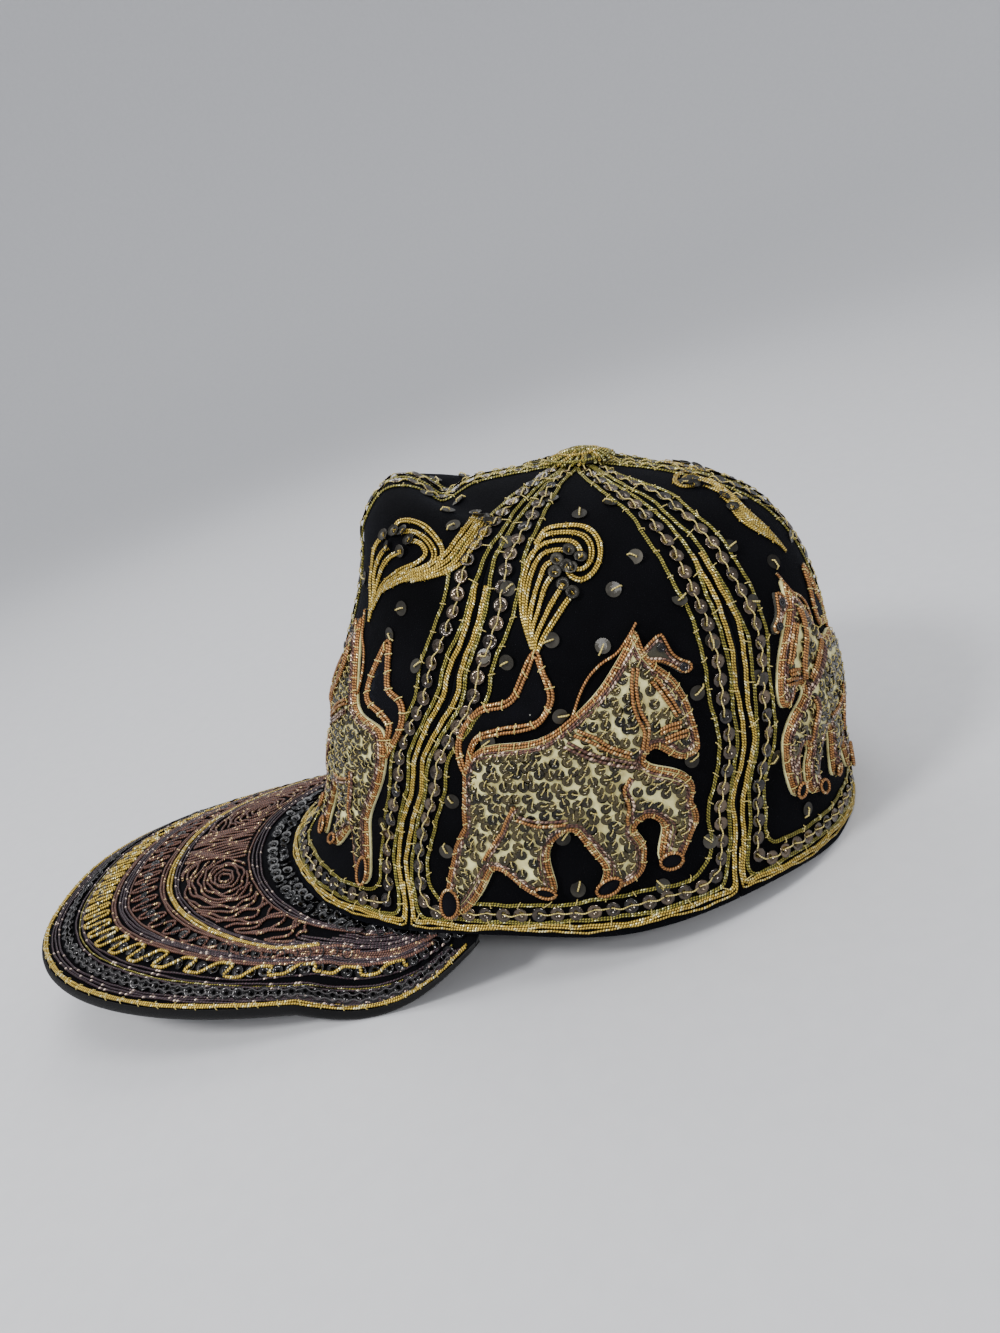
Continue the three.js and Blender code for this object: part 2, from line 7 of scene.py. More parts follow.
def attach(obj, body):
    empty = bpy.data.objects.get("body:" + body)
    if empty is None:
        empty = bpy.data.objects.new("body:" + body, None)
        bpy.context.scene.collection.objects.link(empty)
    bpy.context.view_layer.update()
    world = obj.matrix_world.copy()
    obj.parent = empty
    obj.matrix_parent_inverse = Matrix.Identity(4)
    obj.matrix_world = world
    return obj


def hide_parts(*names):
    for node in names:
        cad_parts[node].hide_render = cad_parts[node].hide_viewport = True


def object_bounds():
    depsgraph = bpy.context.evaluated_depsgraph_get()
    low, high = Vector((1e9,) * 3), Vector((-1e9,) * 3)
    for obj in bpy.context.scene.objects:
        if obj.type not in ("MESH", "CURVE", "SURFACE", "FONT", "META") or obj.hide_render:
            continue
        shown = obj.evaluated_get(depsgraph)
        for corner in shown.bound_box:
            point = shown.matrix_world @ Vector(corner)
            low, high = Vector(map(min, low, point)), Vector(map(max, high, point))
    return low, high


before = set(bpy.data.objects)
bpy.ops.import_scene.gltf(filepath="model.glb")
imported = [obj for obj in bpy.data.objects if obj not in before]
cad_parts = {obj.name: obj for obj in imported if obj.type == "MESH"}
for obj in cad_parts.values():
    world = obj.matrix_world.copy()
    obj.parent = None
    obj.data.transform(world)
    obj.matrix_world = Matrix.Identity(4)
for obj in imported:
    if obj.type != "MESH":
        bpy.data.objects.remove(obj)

cad_box = [[float(value) for value in corner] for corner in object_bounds()]

# Crown: six panels of black cotton velvet backed with stiffened cloth, cut 2 mm thick in
# all and sewn edge to edge from the rim to the button. Each swells a little between its
# seams. Everything is worked out in the cap's own frame, in mm, with the rim level.
WALL = 2.0
PUFF = 1.0
SEAM_GAP = 0.3
SWELL_LOW = 0.1
FOOT_SHARE = 0.12
REST_FLAT = 1.2
PANEL_TOP = 0.975
PANEL_ROWS = 72
PANEL_COLUMNS = 32
# Middle lines of the crown, from the rim up to the apex
FRONT_LINE = [
    (0, -104.5, 0), (0, -94.0, 9), (0, -84.8, 22), (0, -79.4, 40), (0, -74.4, 57.5),
    (0, -67.8, 74.5), (0, -60.4, 91.5), (0, -56.6, 105), (0, -54.8, 114),
    (0, -47.5, 123.2), (0, -40.0, 124), (0, -34.0, 120.8), (0, -29.5, 116.8),
    (0, -18.8, 120.6), (0, -1.0, 121.7), (0, 16.7, 122.2),
]
SIDE_LINE = [
    (82.3, 0, 0), (79.4, -1.5, 14), (77.2, -1.7, 30), (75.4, -0.5, 48), (71.8, 0.4, 65.5),
    (66.4, 2.0, 81.4), (57.8, 4.4, 96.2), (46.0, 7.0, 107.8), (32.2, 10.3, 115.4),
    (17.0, 13.8, 120.3), (0, 16.7, 122.2),
]
BACK_LINE = [
    (0, 95.6, 0), (0, 92.8, 14), (0, 91.4, 30), (0, 91.0, 46), (0, 88.2, 62),
    (0, 85.2, 78), (0, 79.2, 92.6), (0, 68.4, 104.8), (0, 48.0, 114.4), (0, 28.0, 119.6),
    (0, 16.7, 122.2),
]
# Share of the way up, front and back seam in degrees from the centre front, half width
# of the band over a seam
SEAMS = [
    (0.0, 60, 120.5, 10), (0.15, 54.5, 124, 10.5), (0.3, 58, 128, 11.2),
    (0.45, 65.5, 129.5, 12.6), (0.6, 71, 127.5, 12), (0.75, 71, 126, 9.6),
    (0.9, 70, 116, 5.3), (1.0, 66, 114, 3),
]
# Degrees from the centre front, and how far the rim rises or dips there
RIM_WAVE = [
    (0, 1.5), (45, -1.2), (76, 1.6), (100, -1.6), (130, 0.9), (152, -0.9), (180, 0),
]
PEAK_WIDEST_Y = -91.4
PEAK_REACH = 110.0
PEAK_TIP_Z = -17.7
PEAK_SIDE_Z = -19.2
PEAK_SIDE_DIP = 7.0
PEAK_CORNER_DEG = 73.0
PEAK_THIN = 0.55
PEAK_DEPTH = 4.2


def smooth_line(rows, closed=False):
    """Smooth curve through points, by its share of the way along them."""
    rows = np.array(rows, float)
    if closed:
        rows = np.vstack([rows, rows[:1]])
    steps = np.linalg.norm(np.diff(rows, axis=0), axis=1)
    knots = np.r_[0, np.cumsum(steps)] / steps.sum()
    slopes = np.empty_like(rows)
    slopes[1:-1] = (rows[2:] - rows[:-2]) / (knots[2:] - knots[:-2])[:, None]
    slopes[0] = (rows[1] - rows[0]) / knots[1]
    slopes[-1] = (rows[-1] - rows[-2]) / (1 - knots[-2])
    if closed:
        slopes[0] = slopes[-1] = (rows[1] - rows[-2]) / (knots[1] + 1 - knots[-2])

    def at(share):
        share = np.asarray(share, float)
        i = np.clip(np.searchsorted(knots, share, side='right') - 1, 0, len(knots) - 2)
        span = (knots[i + 1] - knots[i])[..., None]
        w = (share - knots[i])[..., None] / span
        return ((2 * w ** 3 - 3 * w ** 2 + 1) * rows[i]
                + (w ** 3 - 2 * w ** 2 + w) * span * slopes[i]
                + (3 * w ** 2 - 2 * w ** 3) * rows[i + 1]
                + (w ** 3 - w ** 2) * span * slopes[i + 1])
    return at


def eased(rows, column, key):
    """Value of a column of a table at a key, eased from row to row."""
    rows = np.array(rows, float)
    key = np.asarray(key, float)
    i = np.clip(np.searchsorted(rows[:, 0], key, side='right') - 1, 0, len(rows) - 2)
    w = np.clip((key - rows[i, 0]) / (rows[i + 1, 0] - rows[i, 0]), 0, 1)
    w = w * w * (3 - 2 * w)
    return rows[i, column] + (rows[i + 1, column] - rows[i, column]) * w


front_line = smooth_line(FRONT_LINE)
side_line = smooth_line(SIDE_LINE)
back_line = smooth_line(BACK_LINE)


def front_seam(t):
    return np.radians(eased(SEAMS, 1, t))


def back_seam(t):
    return np.radians(eased(SEAMS, 2, t))


def band_half_width(t):
    return eased(SEAMS, 3, t)


def rim_wave(phi):
    return eased(RIM_WAVE, 1, np.degrees(np.abs(phi)))


def wrapped(phi):
    return (np.asarray(phi, float) + np.pi) % (2 * np.pi) - np.pi


def bare_crown(phi, t):
    """Point of the crown, phi round from the centre front and t up from the rim."""
    phi = wrapped(phi)
    side = side_line(t)
    turn = np.cos(phi)
    end = np.where((turn > 0)[..., None], front_line(t), back_line(t))
    x = side[..., 0] * np.sin(phi)
    y = side[..., 1] + (end[..., 1] - side[..., 1]) * np.abs(turn)
    z = side[..., 2] + (end[..., 2] - side[..., 2]) * turn ** 2
    return np.stack([x, y, z], -1)


def swell(phi, t):
    """How far a panel swells, from 0 at its edges to 1 in its middle."""
    phi = np.abs(wrapped(phi))
    first = front_seam(t)
    last = back_seam(t)
    low = np.where(phi > last, last, np.where(phi > first, first, 0))
    high = np.where(phi > last, np.pi, np.where(phi > first, last, first))
    share = np.clip((phi - low) / (high - low), 0, 1)
    rise = np.minimum(SWELL_LOW + (1 + SWELL_LOW) * t, 1)
    return np.sin(share * np.pi) * np.sin(rise * np.pi)


def unit(vectors):
    return vectors / np.maximum(np.linalg.norm(vectors, axis=-1, keepdims=True), 1e-9)


def outward(phi, t):
    """Way that the bare crown faces."""
    e = 0.004
    around = bare_crown(phi + e, t) - bare_crown(phi - e, t)
    up = bare_crown(phi, np.minimum(t + e, 1)) - bare_crown(phi, t - e)
    return unit(np.cross(around, up))


def peak_side_z(back):
    return PEAK_SIDE_Z * (1 - back * back) - PEAK_SIDE_DIP * np.sin(np.pi * back)


def peak_side_y(back):
    corner = FRONT_LINE[0][1] * np.cos(np.radians(PEAK_CORNER_DEG))
    return PEAK_WIDEST_Y + (corner - PEAK_WIDEST_Y) * back


# The cap lies on its rear rim and on the lowest two places of its peak, so it is pitched
REAR_Y = BACK_LINE[0][1]
peak_sides = np.linspace(0, 1, 61)
peak_low = peak_side_z(peak_sides) - PEAK_DEPTH * (1 - PEAK_THIN * peak_sides)
floor_slope = float(np.max((REST_FLAT - peak_low) / (REAR_Y - peak_side_y(peak_sides))))
floor_slope = max(floor_slope, 0.0)
TILT = -np.arctan(floor_slope)
SHIFT_Z = -(REAR_Y * np.sin(TILT) + REST_FLAT * np.cos(TILT))
tip_y = (PEAK_WIDEST_Y - PEAK_REACH) * np.cos(TILT) - (PEAK_TIP_Z - PEAK_DEPTH) * np.sin(TILT)
SHIFT_Y = cad_box[0][1] * 1000 - tip_y


def pitched(vectors):
    y = vectors[..., 1] * np.cos(TILT) - vectors[..., 2] * np.sin(TILT)
    z = vectors[..., 1] * np.sin(TILT) + vectors[..., 2] * np.cos(TILT)
    return np.stack([vectors[..., 0], y, z], -1)


def laid_down(points):
    """From the cap's own frame, in mm, to the table it lies on, in metres."""
    return (pitched(np.asarray(points, float)) + [0, SHIFT_Y, SHIFT_Z]) / 1000


def crown(phi, t, out):
    """Point out mm proud of the velvet, on the swollen panels and the wavy rim."""
    phi, t, out = np.broadcast_arrays(*(np.asarray(v, float) for v in (phi, t, out)))
    p = bare_crown(phi, t) + outward(phi, t) * (out + PUFF * swell(phi, t))[..., None]
    wave = rim_wave(wrapped(phi))
    foot = np.maximum(1 - t / FOOT_SHARE, 0) ** 2
    z = p[..., 2] + wave * foot
    z = np.where(t <= 0, wave, z)
    p[..., 2] = np.maximum(z, REST_FLAT - floor_slope * (REAR_Y - p[..., 1]))
    return p


def besides(phi, t, side):
    """Angle that lies side mm away from phi along the crown."""
    e = 0.01
    radius = np.linalg.norm(bare_crown(phi + e, t) - bare_crown(phi - e, t), axis=-1) / (2 * e)
    return phi + side / np.maximum(radius, 2)


def dyed(red, green, blue):
    """Linear colour of a dye given as 0 to 255."""
    rgb = np.array([red, green, blue]) / 255
    linear = np.where(rgb <= 0.04045, rgb / 12.92, ((rgb + 0.055) / 1.055) ** 2.4)
    return (*(float(value) for value in linear), 1.0)


def node(tree, kind, inputs=None, **settings):
    """A node with its settings, its plain values and the sockets that feed it."""
    made = tree.nodes.new(kind)
    for name, value in settings.items():
        setattr(made, name, value)
    for socket, value in (inputs or {}).items():
        if isinstance(value, bpy.types.NodeSocket):
            tree.links.new(value, made.inputs[socket])
        else:
            made.inputs[socket].default_value = value
    return made


def new_finish(name):
    material = bpy.data.materials.new(name)
    material.use_nodes = True
    material.node_tree.nodes.clear()
    return material, material.node_tree


def surfaced(material, inputs):
    """The material, once its surface is made."""
    surface = node(material.node_tree, 'ShaderNodeBsdfPrincipled', inputs)
    node(material.node_tree, 'ShaderNodeOutputMaterial', {'Surface': surface.outputs[0]})
    return material


def maths(tree, operation, *values):
    return node(tree, 'ShaderNodeMath', dict(enumerate(values)), operation=operation).outputs[0]


def place_on(tree):
    return node(tree, 'ShaderNodeTexCoord').outputs['Object']


def noise(tree, scale, detail=2.0):
    made = node(tree, 'ShaderNodeTexNoise',
                {'Vector': place_on(tree), 'Scale': scale, 'Detail': detail})
    return made.outputs[0]


def bumped(tree, height, strength, distance):
    made = node(tree, 'ShaderNodeBump',
                {'Height': height, 'Strength': strength, 'Distance': distance})
    return made.outputs[0]


def blend_colours(tree, share, low, high):
    made = node(tree, 'ShaderNodeMix', {'Factor': share, 6: low, 7: high}, data_type='RGBA')
    return made.outputs[2]


def stepped(tree, value, low, high):
    """0 below low and 1 above high."""
    made = node(tree, 'ShaderNodeMapRange', {'Value': value, 'From Min': low, 'From Max': high})
    return made.outputs['Result']


def cotton_velvet(name, dark, light, sheen):
    """Short matt pile with a little lint caught in it; where the pile lies this way and that,
    paler bluish patches of painted sheen are mixed into its colour.
    """
    material, tree = new_finish(name)
    # Painted sheen: patches where the dark pile colour gives way to the paler bluish light one
    painted_sheen_patches = stepped(tree, noise(tree, 38.0, 5.0), 0.35, 0.7)
    colour = blend_colours(tree, painted_sheen_patches, dark, light)
    specks = node(tree, 'ShaderNodeTexVoronoi', {'Vector': place_on(tree), 'Scale': 210.0})
    size = maths(tree, 'MULTIPLY', stepped(tree, noise(tree, 160.0), 0.6, 0.95), 0.16)
    lint = maths(tree, 'LESS_THAN', specks.outputs['Distance'], size)
    return surfaced(material, {
        'Base Color': blend_colours(tree, lint, colour, dyed(120, 118, 112)),
        'Normal': bumped(tree, noise(tree, 2100.0), 0.5, 0.0004), 'Roughness': 0.95,
        'Specular IOR Level': 0.06, 'Sheen Weight': sheen, 'Sheen Roughness': 0.42,
        'Sheen Tint': dyed(150, 160, 190),
    })


def plain_cloth(name, dark, light):
    """Plain-woven black cotton, a little worn."""
    material, tree = new_finish(name)
    weave = node(tree, 'ShaderNodeTexBrick', {
        'Vector': place_on(tree), 'Scale': 1400.0, 'Color1': dark, 'Color2': light,
        'Mortar': dyed(8, 8, 9), 'Mortar Size': 0.03,
    })
    return surfaced(material, {
        'Base Color': blend_colours(tree, noise(tree, 60.0, 4.0), weave.outputs[0], light),
        'Normal': bumped(tree, weave.outputs[1], 0.4, 0.0002), 'Roughness': 0.9,
        'Specular IOR Level': 0.15, 'Sheen Weight': 0.06, 'Sheen Roughness': 0.5,
    })


# The second, paler bluish colour of each velvet is painted sheen
black_velvet = cotton_velvet('black_velvet', dyed(3, 3, 4), dyed(8, 8, 11), 0.022)
black_lining = plain_cloth('black_lining', dyed(24, 24, 26), dyed(31, 31, 34))

PANEL_SEAMS = {
    'front': (lambda t: 0 * np.asarray(t), front_seam),
    'side': (front_seam, back_seam),
    'back': (back_seam, lambda t: 0 * np.asarray(t) + np.pi),
}


def sheet_faces(rows, cols, skip=0):
    """Quads of a grid of points, counted from skip."""
    i, j = np.meshgrid(np.arange(rows), np.arange(cols), indexing='ij')
    a = (skip + i * (cols + 1) + j).ravel()
    return np.stack([a, a + 1, a + cols + 2, a + cols + 1], 1)


def slab(outer, inner):
    """Closed solid between two grids of points, as points and quads."""
    rows, cols = outer.shape[0] - 1, outer.shape[1] - 1
    n = (rows + 1) * (cols + 1)
    points = np.vstack([outer.reshape(-1, 3), inner.reshape(-1, 3)])
    faces = [sheet_faces(rows, cols), sheet_faces(rows, cols, n)[:, ::-1]]
    ring = np.r_[
        np.arange(cols), np.arange(rows) * (cols + 1) + cols,
        rows * (cols + 1) + np.arange(cols, 0, -1), np.arange(rows, 0, -1) * (cols + 1),
    ]
    after = np.roll(ring, -1)
    faces.append(np.stack([ring + n, after + n, after, ring], 1))
    return points, np.vstack(faces)


def mirrored_mesh(points, faces):
    return points * [-1, 1, 1], faces[:, ::-1]


def new_piece(name, points, faces, finishes, finish_of=None, smooth=True):
    """A mesh laid down on the table, with its finishes and which of them each face has."""
    mesh = bpy.data.meshes.new(name)
    mesh.from_pydata(laid_down(points).tolist(), [], np.asarray(faces).tolist())
    for finish in finishes:
        mesh.materials.append(finish)
    if finish_of is not None:
        mesh.polygons.foreach_set('material_index', np.asarray(finish_of, np.int32))
    mesh.polygons.foreach_set('use_smooth', np.full(len(mesh.polygons), smooth))
    mesh.update()
    piece = bpy.data.objects.new(name, mesh)
    bpy.context.scene.collection.objects.link(piece)
    return piece


for name, (first, last) in PANEL_SEAMS.items():
    t = np.linspace(0, PANEL_TOP, PANEL_ROWS + 1)[:, None]
    across = np.linspace(0, 1, PANEL_COLUMNS + 1)[None]
    low = besides(first(t), t, SEAM_GAP / 2)
    high = besides(last(t), t, -SEAM_GAP / 2)
    angle = low + (high - low) * across
    t = np.broadcast_to(t, angle.shape)
    points, faces = slab(crown(angle, t, 0), crown(angle, t, -WALL))
    outside = PANEL_ROWS * PANEL_COLUMNS
    finish_of = np.zeros(len(faces), int)
    finish_of[outside:2 * outside] = 1
    for hand in ('left', 'right'):
        if hand == 'right':
            points, faces = mirrored_mesh(points, faces)
        velvet = new_piece(f'velvet_{name}_{hand}', points, faces,
                           [black_velvet, black_lining], finish_of)
        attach(velvet, 'root')
        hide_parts(f'panel_{name}_{hand}')

# Bands over the seams and round the rim: every panel is framed by couched metal cords,
# laid in rows down its seams and along the rim with rounded corners. Between the gold and
# the olive rows runs a line of cup sequins, and thread ties all of it to the velvet.
CORD_STEP = 1.6
GOLD, OLIVE, COPPER, MAUVE, BRONZE, PURPLE, THREAD, GREY_THREAD = range(1, 9)
CUP, FLAT_SEQUIN, DARK_CUP, CLEAR_CUP, HORSE_CUP = range(11, 16)
CREAM_PAD, BLACK_PAD, CORD_PAD = range(21, 24)
RIM_TOP = 11.3
FRAME_TOP = 0.955
# Kind of cord, radius and number of its strands, share of the band's half width from the
# seam, height over the rim, radius of the frame's lower corners, share of the way up where
# the strands end, and how much closer to the seam they run above the gold
FRAME_CORDS = [
    (GOLD, 0.36, 1, 0.08, 2.0, 1.4, 0.09, 0.0),
    (GOLD, 0.40, 2, 0.16, 3.3, 2.2, 0.62, 0.03),
    (OLIVE, 0.33, 2, 0.34, 5.0, 3.6, 0.955, 0.19),
    (OLIVE, 0.31, 2, 0.93, 10.6, 7.6, 0.955, 0.0),
]
# The row of sequins, from its share of the half width on
SEQUIN_ROW = (0.63, 7.7, 5.4, FRAME_TOP, 0.09)
SEQUIN_SPACE = 5.4
CUP_RADIUS = 2.2
# Stitches across the frame: share and height of the line they cross, its corners' radius,
# half their length and the space between them
FRAME_STITCHES = [(0.93, 10.6, 7.6, 0.85, 8.6), (0.24, 4.1, 2.9, 1.7, 12.0)]
CORD_SIDES = 6
SEQUIN_SIDES = 10
SEQUIN_THICK = 0.09
# A turn of metal thread: how dim the dullest painted turn is, how glossy one with a
# painted glint is, and a number that gives each cord its own turns
DIMMEST_PAINTED_TURN = 0.45
FLASH_GLOSS = 0.16
CORDS_APART = 977.0


def mark_of(tree, name):
    return node(tree, 'ShaderNodeAttribute', attribute_name=name).outputs


def metal_cord(name, crest, painted_groove_shade, painted_glint, pitch, metal, gloss, painted_glint_share):
    """Cord wound with metal thread, with painted shade in the grooves between its turns, each
    turn painted brighter or dimmer, and a painted glint on a share of the turns.
    """
    material, tree = new_finish(name)
    along = mark_of(tree, 'along')['Fac']
    tint = mark_of(tree, 'tint')['Fac']
    spin = node(tree, 'ShaderNodeSeparateXYZ', {0: mark_of(tree, 'spin')['Vector']}).outputs
    angle = maths(tree, 'ARCTAN2', spin['Y'], spin['X'])
    phase = maths(tree, 'ADD', maths(tree, 'MULTIPLY', along, 2 * np.pi / pitch), angle)
    wave = stepped(tree, maths(tree, 'SINE', phase), -1.0, 0.7)
    turn = maths(tree, 'FLOOR', maths(tree, 'MULTIPLY', phase, 0.5 / np.pi))
    turn = maths(tree, 'ADD', turn, maths(tree, 'MULTIPLY', tint, CORDS_APART))
    # One random number per turn, which sets the painted light of that turn
    luck = node(tree, 'ShaderNodeTexWhiteNoise', {'W': turn}, noise_dimensions='1D').outputs[0]
    # Painted light: each turn is painted brighter or dimmer at random, down to the dimmest
    # painted turn
    bright = maths(tree, 'MULTIPLY_ADD', luck, 1 - DIMMEST_PAINTED_TURN, DIMMEST_PAINTED_TURN)
    # Painted shade: the colour falls to the groove colour between the turns
    colour = blend_colours(tree, maths(tree, 'MULTIPLY', wave, bright), painted_groove_shade, crest)
    # Painted glints: a share of the turns get a pale glint colour on their crests
    painted_glints = maths(tree, 'MULTIPLY', wave, maths(tree, 'GREATER_THAN', luck, 1 - painted_glint_share))
    colour = blend_colours(tree, painted_glints, colour, painted_glint)
    shine = maths(tree, 'MULTIPLY', painted_glints, gloss - FLASH_GLOSS)
    return surfaced(material, {
        # Each cord is also dulled at random, by its tint, towards the groove-shade colour
        'Base Color': blend_colours(tree, maths(tree, 'MULTIPLY', tint, 0.35), colour, painted_groove_shade),
        'Normal': bumped(tree, wave, 0.5, 0.0002), 'Metallic': metal,
        'Roughness': maths(tree, 'SUBTRACT', gloss, shine),
    })


def spun_thread(name, pale, dark):
    """Thin cotton thread."""
    material, tree = new_finish(name)
    wave = maths(tree, 'SINE', maths(tree, 'MULTIPLY', mark_of(tree, 'along')['Fac'], 9.0))
    colour = blend_colours(tree, stepped(tree, wave, -1.0, 1.0), dark, pale)
    return surfaced(material, {'Base Color': colour, 'Roughness': 0.55, 'Sheen Weight': 0.2})


def sequin_metal(name, bright, dark, gloss, coat):
    """Punched metallised plastic, each sequin tarnished a little differently."""
    material, tree = new_finish(name)
    tarnish = noise(tree, 500.0, 3.0)
    share = maths(tree, 'ADD', mark_of(tree, 'tint')['Fac'], tarnish)
    return surfaced(material, {
        'Base Color': blend_colours(tree, stepped(tree, share, 0.4, 1.5), bright, dark),
        'Normal': bumped(tree, tarnish, 0.15, 0.0003), 'Metallic': 0.9, 'Roughness': gloss,
        'Coat Weight': coat, 'Coat Roughness': 0.08,
    })


def padded_cloth(name, pale, dark):
    """Quilted cloth of a padded shape, soiled between its sequins."""
    material, tree = new_finish(name)
    soiled = stepped(tree, noise(tree, 190.0, 4.0), 0.35, 0.7)
    return surfaced(material, {
        'Base Color': blend_colours(tree, soiled, pale, dark),
        'Normal': bumped(tree, noise(tree, 2600.0), 0.35, 0.0002), 'Roughness': 0.7,
        'Sheen Weight': 0.25, 'Sheen Roughness': 0.4,
    })


# Each cord: crest colour, painted shade of the grooves between turns, painted glint colour,
# pitch of its turns, metallic, roughness and the share of turns with a painted glint
FINISHES = {
    GOLD: metal_cord('gold_cord', dyed(242, 206, 88), dyed(62, 46, 12), dyed(255, 246, 190),
                     0.85, 0.6, 0.4, 0.16),
    OLIVE: metal_cord('olive_cord', dyed(170, 158, 66), dyed(32, 31, 9), dyed(240, 236, 170),
                      0.9, 0.62, 0.4, 0.13),
    COPPER: metal_cord('copper_cord', dyed(204, 144, 80), dyed(66, 38, 18),
                       dyed(255, 226, 164), 0.85, 0.55, 0.4, 0.12),
    MAUVE: metal_cord('mauve_cord', dyed(118, 80, 66), dyed(44, 25, 22), dyed(236, 206, 180),
                      1.3, 0.5, 0.4, 0.28),
    BRONZE: metal_cord('bronze_cord', dyed(120, 80, 64), dyed(38, 21, 18), dyed(250, 212, 150),
                       0.9, 0.45, 0.42, 0.08),
    PURPLE: metal_cord('purple_cord', dyed(62, 38, 48), dyed(12, 7, 10), dyed(232, 206, 190),
                       1.2, 0.4, 0.4, 0.09),
    THREAD: spun_thread('yellow_thread', dyed(214, 196, 112), dyed(150, 130, 62)),
    GREY_THREAD: spun_thread('grey_thread', dyed(54, 49, 50), dyed(24, 21, 22)),
    CUP: sequin_metal('cup_sequin', dyed(104, 86, 64), dyed(16, 12, 9), 0.16, 0.9),
    FLAT_SEQUIN: sequin_metal('flat_sequin', dyed(74, 71, 64), dyed(40, 38, 34), 0.46, 0.1),
    DARK_CUP: sequin_metal('dark_sequin', dyed(32, 29, 30), dyed(9, 8, 8), 0.24, 0.6),
    CLEAR_CUP: sequin_metal('smoky_sequin', dyed(26, 25, 27), dyed(7, 7, 8), 0.24, 0.5),
    HORSE_CUP: sequin_metal('bronze_sequin', dyed(84, 74, 44), dyed(20, 17, 9), 0.2, 0.5),
    CREAM_PAD: padded_cloth('cream_padding', dyed(228, 222, 156), dyed(160, 146, 86)),
    # Its second, paler colour is painted sheen too
    BLACK_PAD: cotton_velvet('black_satin', dyed(5, 5, 6), dyed(16, 16, 21), 0.08),
    CORD_PAD: padded_cloth('cord_ground', dyed(44, 40, 18), dyed(20, 17, 9)),
}


